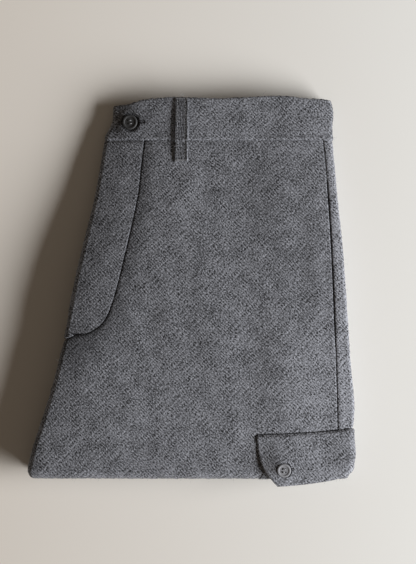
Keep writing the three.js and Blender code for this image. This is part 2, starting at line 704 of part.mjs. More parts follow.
function underLayers() {
  const waistStart = (x) => waistEdge(x) - underSides.waist.radius();
  const sideNames = ["left", "legFold", "right", "waist"];
  const headings = [Math.PI, 1.5 * Math.PI, 2 * Math.PI, 2.5 * Math.PI];
  const stations = []; // around the outline: where a side's fold starts, which way it heads, which side it is
  const leftX = (y) => leftFold(Math.max(y, legFoldStart));
  const leftStationsY = [158, 152, 147, 142, 136, 124, 104, 84, 62, 40, 18, -4, -24, -44, -66, -88, -110, -134];
  const sideCounts = [leftStationsY.length + 1, 16, 16, 16];
  const sideStation = (side, t) => {
    const topLeftY = waistStart(leftX(165));
    const topRightY = waistStart(rightFold(165));
    if (side === 0) {
      const y = [topLeftY, ...leftStationsY, legFoldStart][Math.round(t * sideCounts[0])];
      return { x: leftX(y), y };
    }
    if (side === 1) return { x: lerp(leftX(legFoldStart), rightFold(legFoldStart), t), y: legFoldStart };
    if (side === 2) {
      const y = lerp(legFoldStart, topRightY, t);
      return { x: rightFold(y), y };
    }
    const x = lerp(rightFold(topRightY), leftX(topLeftY), t);
    return { x, y: waistStart(x) };
  };
  for (let side = 0; side < 4; side++) {
    for (let k = 1; k < sideCounts[side]; k++)
      stations.push({ ...sideStation(side, k / sideCounts[side]), side });
    const corner = sideStation(side, 1);
    for (const blend of [0, 0.2, 0.4, 0.6, 0.8, 1]) stations.push({ ...corner, side, blend });
  }
  const rings = [];
  const put = (k, s, dx, dy, z) => {
    rings[k] = rings[k] || [];
    rings[k].push(new THREE.Vector3(s.x + dx, s.y + dy, z));
  };
  for (const s of stations) {
    const next = (s.side + 1) % 4;
    const radiusHere = underSides[sideNames[s.side]].radius(s.y);
    const radiusThere = underSides[sideNames[next]].radius(s.y);
    const top = topHeight(s.x, s.y);
    const alongWaist = Math.exp(-(((s.x - 92) / 20) ** 4));
    const alongLeft = smooth((s.y + 120) / 240);
    const first = edgeProfile(sideNames[s.side], top, s.y, alongWaist, alongLeft);
    const outX = Math.cos(headings[s.side]);
    const outY = Math.sin(headings[s.side]);
    if (s.blend === undefined) {
      first.forEach((p, k) => put(k, s, outX * (radiusHere - p.inset), outY * (radiusHere - p.inset), p.z));
      continue;
    }
    const second = edgeProfile(sideNames[next], top, s.y, alongWaist, alongLeft);
    const turn = (s.blend * Math.PI) / 2;
    const heading = headings[s.side] + turn;
    const radius = 1 / Math.hypot(Math.cos(turn) / radiusHere, Math.sin(turn) / radiusThere);
    const share = (radiusHere - radius) / (radiusHere - radiusThere);
    first.forEach((p, k) => {
      const z = lerp(p.z, second[k].z, share);
      const a = radiusHere - p.inset;
      const b = radiusThere - second[k].inset;
      if (a > 0 && b > 0) {
        const reach = radius - lerp(p.inset, second[k].inset, share);
        put(k, s, Math.cos(heading) * reach, Math.sin(heading) * reach, z);
        return;
      }
      // A fold that lies inside the corner's own centre gets a small rounded corner of its own
      const roundA = Math.max(a, innerCorner);
      const roundB = Math.max(b, innerCorner);
      const alongA = a - roundA * (1 - Math.cos(turn));
      const alongB = b - roundB * (1 - Math.sin(turn));
      put(k, s, outX * alongA - outY * alongB, outY * alongA + outX * alongB, z);
    });
  }
  // The broad top face, in rings that close on the middle
  const middle = { x: 18, y: 0 };
  const capRings = 8;
  const caps = [];
  for (let c = capRings - 1; c >= 1; c--)
    caps.push(
      rings[0].map((p) => {
        const x = lerp(p.x, middle.x, c / capRings);
        const y = lerp(p.y, middle.y, c / capRings);
        return new THREE.Vector3(x, y, topHeight(x, y) - clothThickness - coreClearance);
      }),
    );
  const allRings = [...caps, ...rings];
  const count = stations.length;
  const summit = new THREE.Vector3(
    middle.x,
    middle.y,
    topHeight(middle.x, middle.y) - clothThickness - coreClearance,
  );
  const sole = new THREE.Vector3(middle.x, middle.y, 0);
  const positions = [...allRings.flat(), summit, sole].flatMap((p) => [p.x, p.y, p.z]);
  const index = [];
  const id = (ring, k) => ring * count + (k % count);
  const last = allRings.length - 1;
  for (let k = 0; k < count; k++) {
    for (let ring = 0; ring < last; ring++) {
      index.push(id(ring, k), id(ring + 1, k), id(ring + 1, k + 1));
      index.push(id(ring, k), id(ring + 1, k + 1), id(ring, k + 1));
    }
    index.push(allRings.length * count, id(0, k), id(0, k + 1));
    index.push(allRings.length * count + 1, id(last, k + 1), id(last, k));
  }
  const geometry = new THREE.BufferGeometry();
  geometry.setAttribute("position", new THREE.Float32BufferAttribute(positions, 3));
  geometry.setIndex(index);
  geometry.computeVertexNormals();
  return geometry;
}

const wool = new THREE.MeshStandardMaterial({ color: 0x63656a, roughness: 0.95, metalness: 0 });
const woolUnder = new THREE.MeshStandardMaterial({ color: 0x54565a, roughness: 0.95, metalness: 0 });
const horn = new THREE.MeshStandardMaterial({ color: 0x3c3d41, roughness: 0.4, metalness: 0 });

function named(name, geometry, material) {
  const mesh = new THREE.Mesh(geometry, material.clone());
  mesh.name = name;
  return mesh;
}

const wasm = await Module();
wasm.setup();

const trousers = new THREE.Group();
trousers.add(named("front_panel", frontPanel(), wool));
trousers.add(named("back_panel", backPanel(), wool));
trousers.add(named("fly_front", flyFront(), wool));
trousers.add(named("fly_shield", flyShield(), wool));
trousers.add(named("waistband", waistband(), wool));
trousers.add(named("belt_loop", beltLoop(), wool));
trousers.add(named("cargo_pocket", cargoPocket(), wool));
trousers.add(named("cargo_flap", cargoFlap(), wool));
trousers.add(named("under_layers", underLayers(), woolUnder));

const buttonOnWaist = named("waist_button", buttonGeometry(wasm, waistButton.diameter), horn);
seatButton(buttonOnWaist, waistButton, (x, y) => foldOver(x, y, -waistbandLift));
trousers.add(buttonOnWaist);

const alongFlap = (x, y) => (y - flapSeam(x)) / (flapHem(x) - flapSeam(x));
const flapFace = (x, y) => {
  const along = alongFlap(x, y);
  return flapPoint(x, along, -flapStandOff(x, along) - flapThickness);
};
const buttonOnFlap = named("flap_button", buttonGeometry(wasm, flapButton.diameter), horn);
seatButton(buttonOnFlap, flapButton, flapFace);
trousers.add(buttonOnFlap);

// The frame's origin is the middle of the underside
const middleOfAll = new THREE.Box3().setFromObject(trousers, true).getCenter(new THREE.Vector3());
trousers.position.set(-middleOfAll.x, -middleOfAll.y, 0);

export default trousers;
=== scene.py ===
# Folded cargo pants in grey wool twill: cloth, seams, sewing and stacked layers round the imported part
import bisect
import math
import random

import bmesh
import bpy
from mathutils import Matrix, Vector, kdtree, noise


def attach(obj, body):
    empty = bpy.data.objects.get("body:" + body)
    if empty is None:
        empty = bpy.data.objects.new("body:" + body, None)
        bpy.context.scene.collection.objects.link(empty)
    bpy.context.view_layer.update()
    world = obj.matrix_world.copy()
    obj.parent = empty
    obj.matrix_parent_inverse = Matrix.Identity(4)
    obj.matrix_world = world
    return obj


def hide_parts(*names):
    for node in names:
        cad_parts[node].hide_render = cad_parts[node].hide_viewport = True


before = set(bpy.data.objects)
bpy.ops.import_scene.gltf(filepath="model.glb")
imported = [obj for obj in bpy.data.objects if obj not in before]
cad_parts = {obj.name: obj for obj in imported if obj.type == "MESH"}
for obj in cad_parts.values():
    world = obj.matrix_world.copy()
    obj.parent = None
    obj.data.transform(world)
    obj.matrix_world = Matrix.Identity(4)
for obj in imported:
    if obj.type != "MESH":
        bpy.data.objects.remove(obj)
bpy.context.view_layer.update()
mm = 0.001

# The layout is the same as the cut part's, in millimetres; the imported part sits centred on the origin
layout = {
    "shift": (-0.983, -0.408, 0.0),
    "rightRadius": 3.2,  # two layers turn beside the side seam
    "legRadius": 8.8,  # eight layers turn at the crotch
    "legStartY": -160.0,
    "tuck": 0.95,
    "waistSeamY": 135.0,
    "underBand": 4.0,  # how far the panels run up under the waistband
    "seamGap": 0.3,
    "middle": (18.0, 0.0),
}
legStartY, legRadius, rightRadius = layout["legStartY"], layout["legRadius"], layout["rightRadius"]
waistSeamY, seamGap = layout["waistSeamY"], layout["seamGap"]
# along the stack: y, its height, the fall of the top cloth to the left, and half the left fold's thickness
stack = [(175, 17.2, 2.0, 3.3), (130, 18.0, 2.6, 3.5), (80, 23.2, 4.2, 4.0), (20, 28.4, 4.3, 4.7),
         (-60, 30.8, 3.0, 5.2), (-130, 31.0, 3.0, 5.5), (-160, 31.0, 3.0, 5.5)]
# near the left edge the cloth rounds over early: y, how far in that starts, and how deep it goes
leftRound = [(175, 58, 2.6), (135, 54, 2.4), (110, 34, 1.6), (20, 30, 1.4), (-60, 34, 1.6), (-160, 30, 1.4)]
outline = {  # edges of the folded pants, y against x, and the waist's x against y
    "left": [(176, -68.6), (163, -69.8), (152, -70.6), (145.5, -73.4), (141, -76.4), (135, -77.8),
             (117, -80.8), (81, -87.2), (45, -95.9), (9, -104.2), (-27, -111.4), (-45, -115), (-81, -123.4),
             (-117, -134.6), (-143, -143), (-160, -147)],
    "right": [(176, 123.6), (166, 126), (160, 127), (147, 126.2), (134, 127.2), (81, 131.5), (45, 135.2),
              (9, 137.8), (-63, 142.4), (-88, 144.7), (-101, 146), (-115, 145.4), (-130, 143.9),
              (-148, 143.5), (-160, 141.8)],
    "waist": [(-80, 166.6), (-69, 166.8), (-57, 167.7), (-50, 170.2), (-40, 172.3), (-20, 174), (8, 173.4),
              (26, 173), (44, 173.8), (62, 174.8), (74, 175.2), (88, 174.9), (100, 173.3), (118, 172.3),
              (140, 169.8)],
    "sideSeam": [(136, 118.6), (103, 121.6), (67, 124.2), (2, 127.1), (-49, 128.9), (-95, 130.2),
                 (-125, 130.9), (-190, 131.8)],
    "flyLine": [(136, -42.6), (110, -45.6), (88, -47.8), (69, -51.5), (46, -56.6), (23, -62), (5, -66.4),
                (-9, -70.4), (-22, -75.4), (-31, -81.8), (-36.8, -90.6), (-39.2, -98.5), (-40.9, -106),
                (-42.4, -112), (-45.2, -126)],
    "flyEdge": [(140, 14.9), (8, 14.9), (-4, 12.5), (-14, 8.6), (-22, 5.8), (-29, 4.2), (-35, 2.4),
                (-39, -1.8), (-41, -6)],
}
dome = {  # how the top cloth falls towards its edges, and how uneven it is
    "rightFall": 3.6,
    "legFall": 2.2,
    "waistFall": 2.0,
    "leftPower": 5,
    "power": 6,
    "roundPower": 2.2,
    "waves": [(0.16, 21, 33, 3.1), (0.07, 8, 11, 7.7)],  # height, how wide and long, layer of the noise
}
swells = [  # soft ridges and troughs of the top cloth: x, y, half width, half length, lean in degrees, height
    (-14, 60, 24, 90, 8, 0.55),
    (50, 95, 20, 60, -6, -0.85),
    (78, 60, 16, 60, -2, 0.35),
    (22, -40, 18, 60, 10, 0.75),
    (54, -49, 13, 44, 0, -0.55),
    (86, -84, 27, 56, 0, 1.7),
    (-70, -100, 40, 36, 20, 0.6),
    (112, 28, 9, 60, 2, 0.45),
    (96, 34, 8, 58, 2, -0.35),
    (-3, 100, 10, 30, -20, 0.5),
    (-22, -26, 9, 24, 5, 0.42),
    (-36, -34, 8, 20, 8, -0.3),
    (4, -62, 9, 20, 12, -0.3),
    (36, -20, 9, 26, 24, 0.2),
    (72, 12, 8, 44, 5, -0.2),
    (-96, -70, 14, 30, 12, 0.35),
    (-112, -118, 10, 28, 26, -0.4),
    (-84, -132, 12, 22, 40, 0.3),
    (-20, -112, 18, 22, -40, -0.35),
    (36, -126, 26, 12, 15, 0.3),
    (-52, -72, 11, 26, 30, -0.3),
    (6, 150, 12, 20, 0, 0.25),
    (66, 152, 14, 18, 4, -0.3),
    (104, 158, 12, 16, 0, 0.35),
    (-74, 162, 10, 18, 0, -2.0),
]


def lerp(a, b, t):
    return a + (b - a) * t


def clamp(value, low, high):
    return min(high, max(low, value))


def smooth(t):
    t = clamp(t, 0.0, 1.0)
    return t * t * (3 - 2 * t)


def bell(distance, width):
    return math.exp(-((distance / width) ** 2))


def wave(height, x, y, layer):
    # soft noise, up to about this height either way
    return height * noise.noise(Vector((x, y, layer)))


def through(points):
    # a smooth function through a list of (key, value) points
    rows = sorted(points)
    keys = [k for k, _ in rows]
    values = [v for _, v in rows]
    last = len(rows) - 1
    slopes = []
    for i in range(len(rows)):
        a, b = max(0, i - 1), min(last, i + 1)
        slopes.append((values[b] - values[a]) / (keys[b] - keys[a]))

    def at(key):
        k = clamp(key, keys[0], keys[last])
        i = clamp(bisect.bisect_left(keys, k) - 1, 0, last - 1)
        span = keys[i + 1] - keys[i]
        t = (k - keys[i]) / span
        bow = t * (1 - t) * span
        return lerp(values[i], values[i + 1], smooth(t)) + bow * (slopes[i] * (1 - t) - slopes[i + 1] * t)

    return at


leftEdge, rightEdge, waistEdge, sideSeam, flyLine, flyEdge = map(through, outline.values())
stackHeight, leftFall, leftRadius = (through([(row[0], row[k]) for row in stack]) for k in (1, 2, 3))
roundReach, roundDrop = (through([(row[0], row[k]) for row in leftRound]) for k in (1, 2))

# points along the fly's J-shaped line, to measure how far a point of the cloth is from it
flySteps = [(flyLine(136 - 0.25 * k), 136 - 0.25 * k) for k in range(725)]
flyTree = kdtree.KDTree(len(flySteps))
for step, (x, y) in enumerate(flySteps):
    flyTree.insert(Vector((x, y, 0)), step)
flyTree.balance()


def toFlyLine(x, y):
    return flyTree.find(Vector((x, y, 0)))[2]


def leftFold(y):
    return leftEdge(y) + leftRadius(y)


def rightFold(y):
    return rightEdge(y) - rightRadius


def leftTuck(y):
    return math.pi * leftRadius(y) * layout["tuck"]


tuckRight = math.pi * rightRadius * layout["tuck"]
tuckLegs = math.pi * legRadius * layout["tuck"]
panelTopY = waistSeamY + layout["underBand"]
legEndY = legStartY - tuckLegs


def softSpots(x, y, spots):
    # the sum of soft oval spots at a point
    total = 0.0
    for spotX, spotY, halfWidth, halfLength, lean, height in spots:
        turn = math.radians(lean)
        dx, dy = x - spotX, y - spotY
        a = (dx * math.cos(turn) + dy * math.sin(turn)) / halfWidth
        b = (-dx * math.sin(turn) + dy * math.cos(turn)) / halfLength
        away = a * a + b * b
        if away < 9:
            total += height * math.exp(-away)
    return total


def topHeight(x, y):
    # outer face of the top cloth: a low dome with soft swells that rounds over early at the left
    left, right = leftEdge(y), rightEdge(y)
    across = clamp((x - left) / (right - left), 0, 1)
    along = clamp((y - legStartY) / (waistEdge(x) - legStartY), 0, 1)
    power = dome["power"]
    z = stackHeight(y) - leftFall(y) * (1 - across) ** dome["leftPower"] - dome["rightFall"] * across**power
    z -= dome["legFall"] * (1 - along) ** power + dome["waistFall"] * along**power
    z -= roundDrop(y) * clamp(1 - (x - left) / roundReach(y), 0, 1) ** dome["roundPower"]
    z += softSpots(x, y, swells)
    return z + sum(wave(height, x / wide, y / long, layer) for height, wide, long, layer in dome["waves"])


def foldOver(x, y, depth):
    # a point of the flat layout, at a depth into the stack, on the folded pants
    baseY = max(y, legStartY)
    left, right = leftFold(baseY), rightFold(baseY)
    baseX = clamp(x, left, right)
    top = topHeight(baseX, baseY)
    if baseX == x and baseY == y:
        return Vector((x, y, top - depth))
    sideRadius = leftRadius(baseY) if x < baseX else rightRadius
    overSide = abs(x - baseX) / (math.pi * sideRadius)
    overLegs = (baseY - y) / (math.pi * legRadius)
    turn = max(overSide, overLegs) * math.pi
    if overSide >= overLegs:
        heading = (overLegs / overSide) * math.pi / 4
    else:
        heading = math.pi / 2 - (overSide / overLegs) * math.pi / 4
    radius = 1 / math.hypot(math.cos(heading) / sideRadius, math.sin(heading) / legRadius)
    reach = (radius - depth) * math.sin(turn)
    side = -1 if x < baseX else 1
    return Vector((
        baseX + side * math.cos(heading) * reach,
        baseY - math.sin(heading) * reach,
        top - radius + (radius - depth) * math.cos(turn),
    ))


def easeEnds(t, amount=0.55):
    # finer steps near both ends of a row, where the cloth rolls
    return lerp(t, smooth(t), amount)


def addPiece(bm, name, material):
    mesh = bpy.data.meshes.new(name)
    bm.to_mesh(mesh)
    bm.free()
    mesh.materials.append(material)
    piece = bpy.data.objects.new(name, mesh)
    bpy.context.scene.collection.objects.link(piece)
    return piece


def finishPiece(bm, name, material, smoothShading=True):
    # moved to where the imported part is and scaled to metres
    bmesh.ops.translate(bm, verts=bm.verts[:], vec=Vector(layout["shift"]))
    bmesh.ops.scale(bm, verts=bm.verts[:], vec=(mm, mm, mm))
    for face in bm.faces:
        face.smooth = smoothShading
    return addPiece(bm, name, material)


def thicken(piece, thickness):
    wall = piece.modifiers.new("wall", "SOLIDIFY")
    wall.thickness = thickness * mm
    wall.offset = -1
    wall.use_even_offset = True
    wall.thickness_clamp = 1.0


# painted light and shade on the cloth, in soft spots where it is made paler or darker: x, y, half width, half
# length, lean, how much
paintedLightShadeSpots = [
    (-100, -54, 26, 15, 20, -0.34),
    (96, 10, 22, 50, 0, -0.09),
    (104, -78, 34, 50, 0, 0.26),
    (30, -120, 70, 40, 0, 0.07),
    (96, -150, 50, 26, 0, 0.10),
    (-70, 60, 14, 100, -14, -0.04),
    (-22, 70, 28, 60, -8, 0.18),
    (60, 96, 24, 34, 0, -0.10),
    (-62, 158, 30, 26, 0, -0.12),
    (-54, 151, 13, 12, 0, -0.30),
    (-43, 153, 9, 12, 0, -0.24),
    (68, -161, 7, 12, 0, 0.40),
    (96, -160, 9, 12, 0, -0.20),
]


woolEdge = {"height": 0.6, "gap": 1.5}
# painted light on the left fold, which faces away from the lamp, and painted shade on the right fold, which
# faces it: how much, how far before the fold, and over what width
foldPaintedLightShade = {"left": (0.35, 1.0, 5.0), "right": (-0.26, 1.5, 5.0)}


def layCloth(name, spec, flatAt, placeAt, material, shadeAt=None):
    # a grid of cloth: flatAt gives a point's place in the flat cut, placeAt lays it on the stack,
    # shadeAt how much painted shade it gets there
    bm = bmesh.new()
    bmesh.ops.create_grid(bm, x_segments=spec["columns"], y_segments=spec["rows"], size=0.5)
    uv = bm.loops.layers.uv.new("cloth")
    tone = bm.verts.layers.float.new("tone")
    grain = math.radians(spec.get("grain", 0))
    flat = {}
    for v in bm.verts:
        flat[v] = flatAt(v.co.x + 0.5, 0.5 - v.co.y)
        v.co = Vector((*flat[v], 0))
        # painted light and shade go into the tone, from the spots and from the piece's own tone
        v[tone] = 1 + softSpots(*flat[v], paintedLightShadeSpots) + spec.get("tone", 0)
        foldY = max(flat[v][1], legStartY)
        for side, past in (("left", leftFold(foldY) - flat[v][0]), ("right", flat[v][0] - rightFold(foldY))):
            amount, before, width = foldPaintedLightShade[side]
            v[tone] += amount * smooth((past + before) / width)
        if "button" in spec:  # a ring of painted shade round the button; a negative amount paints light instead
            button = spec["button"]
            away = math.hypot(flat[v][0] - button["x"], flat[v][1] - button["y"])
            v[tone] -= button["shade"] * bell(away - button["shadeRadius"], button["shadeWidth"])
        if shadeAt:
            v[tone] -= shadeAt(*flat[v])
    xs = [place[0] for place in flat.values()]
    ys = [place[1] for place in flat.values()]
    cut = {"flat": ((max(xs) - min(xs)) * mm, (max(ys) - min(ys)) * mm),
           "area": sum(face.calc_area() for face in bm.faces) * mm * mm}
    wide = 1 + spec.get("overLift", 0) / rightRadius  # a raised piece has further to go round
    for face in bm.faces:
        for corner in face.loops:
            x, y = flat[corner.vert]
            x += max(0.0, x - rightFold(y)) * (wide - 1)
            corner[uv].uv = (
                (x * math.cos(grain) - y * math.sin(grain)) * mm,
                (x * math.sin(grain) + y * math.cos(grain)) * mm,
            )
    for v in bm.verts:
        v.co = placeAt(*flat[v])
    bm.normal_update()
    for v in bm.verts:  # thick floats of the weave stand out along a fold's outline
        steep = 1 - abs(v.normal.z)
        v.co += v.normal * woolEdge["height"] * steep * noise.noise(v.co / woolEdge["gap"])
    piece = finishPiece(bm, name, material)
    thicken(piece, spec["thickness"])
    return piece


def seamRoll(distance, spec):
    # how far the cloth sinks into a seam at this distance from it
    return spec["roll"] * max(0.0, 1 - abs(distance) / spec["rollWidth"]) ** 2


def setOrLink(tree, socket, value):
    if isinstance(value, bpy.types.NodeSocket):
        tree.links.new(value, socket)
    else:
        socket.default_value = value


def addMath(tree, operation, *values, kind="ShaderNodeMath"):
    node = tree.nodes.new(kind)
    node.operation = operation
    for socket, value in zip(node.inputs, values):
        setOrLink(tree, socket, value)
    return node.outputs[0]


def addVectorMath(tree, operation, *values):
    return addMath(tree, operation, *values, kind="ShaderNodeVectorMath")


def addNoise(tree, vector, scale, detail=2.0, dimensions="2D", output="Fac"):
    node = tree.nodes.new("ShaderNodeTexNoise")
    node.noise_dimensions = dimensions
    node.inputs["Scale"].default_value = scale
    node.inputs["Detail"].default_value = detail
    tree.links.new(vector, node.inputs["Vector"])
    return node.outputs[output]


def addMix(tree, factor, a, b):
    # from one colour to another
    node = tree.nodes.new("ShaderNodeMix")
    node.data_type = "RGBA"
    for name, value in (("Factor", factor), ("A", a), ("B", b)):
        setOrLink(tree, node.inputs[name], value)
    return node.outputs["Result"]


def addTone(tree):
    node = tree.nodes.new("ShaderNodeAttribute")
    node.attribute_name = "tone"
    return node.outputs["Fac"]


def centred(tree, value, weight):
    # a 0 to 1 value as a change round zero
    return addMath(tree, "MULTIPLY", addMath(tree, "SUBTRACT", value, 0.5), weight)


def newMaterial(name, roughness, specular=0.5):
    material = bpy.data.materials.new(name)
    material.use_nodes = True
    shader = material.node_tree.nodes["Principled BSDF"]
    shader.inputs["Roughness"].default_value = roughness
    shader.inputs["Specular IOR Level"].default_value = specular
    return material, material.node_tree, shader


# tones are how much each part of the weave lightens or darkens it
weave = {
    "wander": [(60.0, 0.0032), (420.0, 0.0014)],  # noise scale and reach: slowly, and from float to float
    "fibres": (0.55, 1.1, 3.0),  # steps of the noise across and along the wales, and its detail
    "fibreTone": 3.0,
    "hairs": (0.9, 2.6, 2.0),
    "hairTone": 1.4,
    "speckScale": 700.0,
    "speckTone": 1.7,
    "cloudScale": 75.0,
    "cloudTone": 0.8,
    "feltScale": 110.0,
    "feltTone": 3.4,
    "clearMiddle": 0.8,
    "clearLeast": 0.15,
    "waleTone": 0.15,
    "humpTone": 0.12,
    "floatTone": 0.38,
    "middleTone": 0.45,
    "humpHeight": 0.22,
    "floatHeight": 0.18,
    "fibreHeight": 0.9,
}


def makeTwillGroup():
    # a 2/2 twill of melange yarns: the wales rise to the right, and each is crossed by short leaning floats
    tree = bpy.data.node_groups.new("woolTwill", "ShaderNodeTree")
    for way, kind, names in (("INPUT", "Vector", ["Vector"]),
                             ("INPUT", "Float", ["Pitch", "Melange", "Tone"]),
                             ("INPUT", "Color", ["Dark", "Light"]), ("OUTPUT", "Color", ["Color"]),
                             ("OUTPUT", "Float", ["Height"])):
        for name in names:
            tree.interface.new_socket(name, in_out=way, socket_type="NodeSocket" + kind)
    given = tree.nodes.new("NodeGroupInput").outputs
    result = tree.nodes.new("NodeGroupOutput").inputs

    def add(a, b):
        return addMath(tree, "ADD", a, b)

    def times(a, b):
        return addMath(tree, "MULTIPLY", a, b)

    moved = given["Vector"]  # the yarns wander
    for scale, reach in weave["wander"]:
        aside = addNoise(tree, given["Vector"], scale, 1.0, output="Color")
        aside = addVectorMath(tree, "SUBTRACT", aside, (0.5, 0.5, 0.5))
        moved = addVectorMath(tree, "ADD", moved, addVectorMath(tree, "MULTIPLY", aside, (reach, reach, 0)))
    parts = tree.nodes.new("ShaderNodeSeparateXYZ")
    tree.links.new(moved, parts.inputs[0])
    u = addMath(tree, "DIVIDE", parts.outputs["X"], given["Pitch"])
    v = addMath(tree, "DIVIDE", parts.outputs["Y"], given["Pitch"])
    over = addMath(tree, "SUBTRACT", u, v)  # across the wales, four yarns to a repeat
    along = add(u, v)  # along the wales, two to a float
    wale = addMath(tree, "SINE", times(over, math.pi / 2))
    floats = addMath(tree, "COSINE", times(along, math.pi))
    hump = addMath(tree, "ABSOLUTE", wale)

    def streaks(across, down, detail):
        # noise that runs along the floats, slanting across the wales
        slant = tree.nodes.new("ShaderNodeCombineXYZ")
        tree.links.new(times(over, across), slant.inputs[0])
        tree.links.new(times(along, down), slant.inputs[1])
        return addNoise(tree, slant.outputs[0], 1.0, detail)

    fibres = streaks(*weave["fibres"])
    tone = centred(tree, fibres, weave["fibreTone"])
    for value, weight in ((streaks(*weave["hairs"]), weave["hairTone"]),
                          (addNoise(tree, given["Vector"], weave["speckScale"]), weave["speckTone"]),
                          (addNoise(tree, given["Vector"], weave["cloudScale"]), weave["cloudTone"])):
        tone = add(tone, centred(tree, value, weight))
    # the wales stand out in some places and are felted over in others
    clear = centred(tree, addNoise(tree, given["Vector"], weave["feltScale"], 1.0), weave["feltTone"])
    clear = addMath(tree, "MAXIMUM", add(clear, weave["clearMiddle"]), weave["clearLeast"])
    pattern = add(times(wale, weave["waleTone"]), centred(tree, hump, weave["humpTone"]))
    pattern = add(pattern, times(times(floats, hump), weave["floatTone"]))
    tone = add(times(add(tone, times(pattern, clear)), given["Melange"]), weave["middleTone"])
    tone = times(addMath(tree, "MAXIMUM", tone, 0.0), given["Tone"])
    tree.links.new(addMix(tree, tone, given["Dark"], given["Light"]), result["Color"])
    height = add(times(hump, weave["humpHeight"]), times(floats, weave["floatHeight"]))
    tree.links.new(add(height, times(fibres, weave["fibreHeight"])), result["Height"])
    return tree


twillGroup = makeTwillGroup()
twillLook = {
    "pitch": 0.0016,
    "melange": 0.67,
    "dark": (0.017, 0.0175, 0.0195, 1),
    "light": (0.318, 0.332, 0.376, 1),
    "bump": 0.8,
    "bumpDistance": 0.0004,
    "roughness": 0.95,
    "specular": 0.2,
    "sheen": 0.10,
}


def makeTwill(name, look):
    material, tree, shader = newMaterial(name, look["roughness"], look["specular"])
    shader.inputs["Sheen Weight"].default_value = look["sheen"]
    cloth = tree.nodes.new("ShaderNodeUVMap")
    cloth.uv_map = "cloth"
    group = tree.nodes.new("ShaderNodeGroup")
    group.node_tree = twillGroup
    tree.links.new(cloth.outputs["UV"], group.inputs["Vector"])
    tree.links.new(addTone(tree), group.inputs["Tone"])
    for socket in ("Pitch", "Melange", "Dark", "Light"):
        group.inputs[socket].default_value = look[socket.lower()]
    bump = tree.nodes.new("ShaderNodeBump")
    bump.inputs["Strength"].default_value = look["bump"]
    bump.inputs["Distance"].default_value = look["bumpDistance"]
    tree.links.new(group.outputs["Color"], shader.inputs["Base Color"])
    tree.links.new(group.outputs["Height"], bump.inputs["Height"])
    tree.links.new(bump.outputs["Normal"], shader.inputs["Normal"])
    return material


def makePlain(name, color, roughness, specular=0.3, mottle=0.25, grain=900.0):
    # a plain material with a little procedural mottling on Object coordinates
    material, tree, shader = newMaterial(name, roughness, specular)
    place = tree.nodes.new("ShaderNodeTexCoord").outputs["Object"]
    dark, light = [(*(min(1, c * (1 + change)) for c in color), 1) for change in (-mottle, mottle)]
    mixed = addMix(tree, addNoise(tree, place, grain, 3.0, "3D"), dark, light)
    tree.links.new(mixed, shader.inputs["Base Color"])
    return material


wool = makeTwill("greyWoolTwill", twillLook)
# one horn in two copies: the waist button's is darker, painted shade, and the flap button's paler, painted
# light
hornPaintedShade = makePlain("hornPaintedShade", (0.046, 0.047, 0.05), 0.65, 0.35, 0.12, 500.0)
hornPaintedLight = makePlain("hornPaintedLight", (0.225, 0.23, 0.25), 0.6, 0.3, 0.2, 500.0)
sewingThread = makePlain("sewingThread", (0.20, 0.205, 0.22), 0.8, 0.2, 0.3, 2500.0)
loopThread = makePlain("loopThread", (0.29, 0.295, 0.315), 0.8, 0.2, 0.3, 2500.0)
darkThread = makePlain("darkThread", (0.035, 0.035, 0.04), 0.8, 0.2, 0.3, 2500.0)
# the flap seam's thread is near black, partly painted shade for the shadow in the seam
seamThreadAndShade = makePlain("seamThreadAndShade", (0.010, 0.010, 0.012), 0.9, 0.1, 0.3, 2500.0)
print("materials made")

# The top cloth: left front, left back, fly, waistband and belt loop

frontPanel = {"columns": 180, "rows": 220, "thickness": 1.6, "roll": 0.65, "rollWidth": 1.8, "flyDip": 1.5,
              "flyDipReach": 7.0, "flyFoot": -45, "deepest": 2.6, "bandSink": 0.5, "mouthRoll": 1.0,
              "mouthGap": 0.9}
# how far the pocket mouth in the side seam stands open, by y
mouth = through([(136, 0), (104, 0), (92, 0.8), (70, 1), (20, 0.8), (-30, 0.9), (-46, 0.5), (-58, 0),
                 (-190, 0)])

flapSeam = through([(50, -129.4), (59, -129.2), (92, -127.8), (122, -126), (140, -123.8), (165, -122)])
flapHem = through([(50, -175.6), (77, -175.4), (100, -173.5), (113, -171.8), (123, -170.2), (131, -168.3),
                   (136.8, -165.8), (140.3, -163.6), (142.8, -161.2), (146, -157.8), (150, -154.5),
                   (165, -150)])
flapSide = through([(0, 58), (0.3, 59.2), (0.6, 63.2), (0.8, 69.2), (1, 77)])
flapTrough = {"deep": 0.9, "wide": 1.7, "jag": 0.8, "jagStep": 1.7, "startX": 55, "ease": 3, "power": 1.6}
# share of the way down and y: rows of a panel lie closer where the fly's line turns
rowStops = [(0, panelTopY), (0.46, -24), (0.6, -48), (1, legEndY)]


def mouthOpen(y):
    return clamp(mouth(y), 0, 1)


def panelRows(down):
    for (t1, y1), (t2, y2) in zip(rowStops, rowStops[1:]):
        if down <= t2:
            return lerp(y1, y2, (down - t1) / (t2 - t1))
    return legEndY


def underBand(y, sink):
    return sink * smooth((y - waistSeamY + 1.2) / 1.6)


def troughAtFlap(x, y):
    # the panel is drawn in along the flap's seam
    away = abs(y - flapSeam(x) + wave(flapTrough["jag"], x / flapTrough["jagStep"], 0.5, 9.1))
    fade = smooth((x - flapTrough["startX"]) / flapTrough["ease"])
    return flapTrough["deep"] * max(0.0, 1 - away / flapTrough["wide"]) ** flapTrough["power"] * fade


def frontFlat(across, down):
    y = panelRows(down)
    foldY = max(y, legStartY)
    tucked = leftFold(foldY) - leftTuck(foldY)
    left = tucked if y < frontPanel["flyFoot"] else max(flyLine(y) + seamGap / 2, tucked)
    right = sideSeam(y) - seamGap / 2 - frontPanel["mouthGap"] * mouthOpen(y)
    return lerp(left, right, easeEnds(across)), y


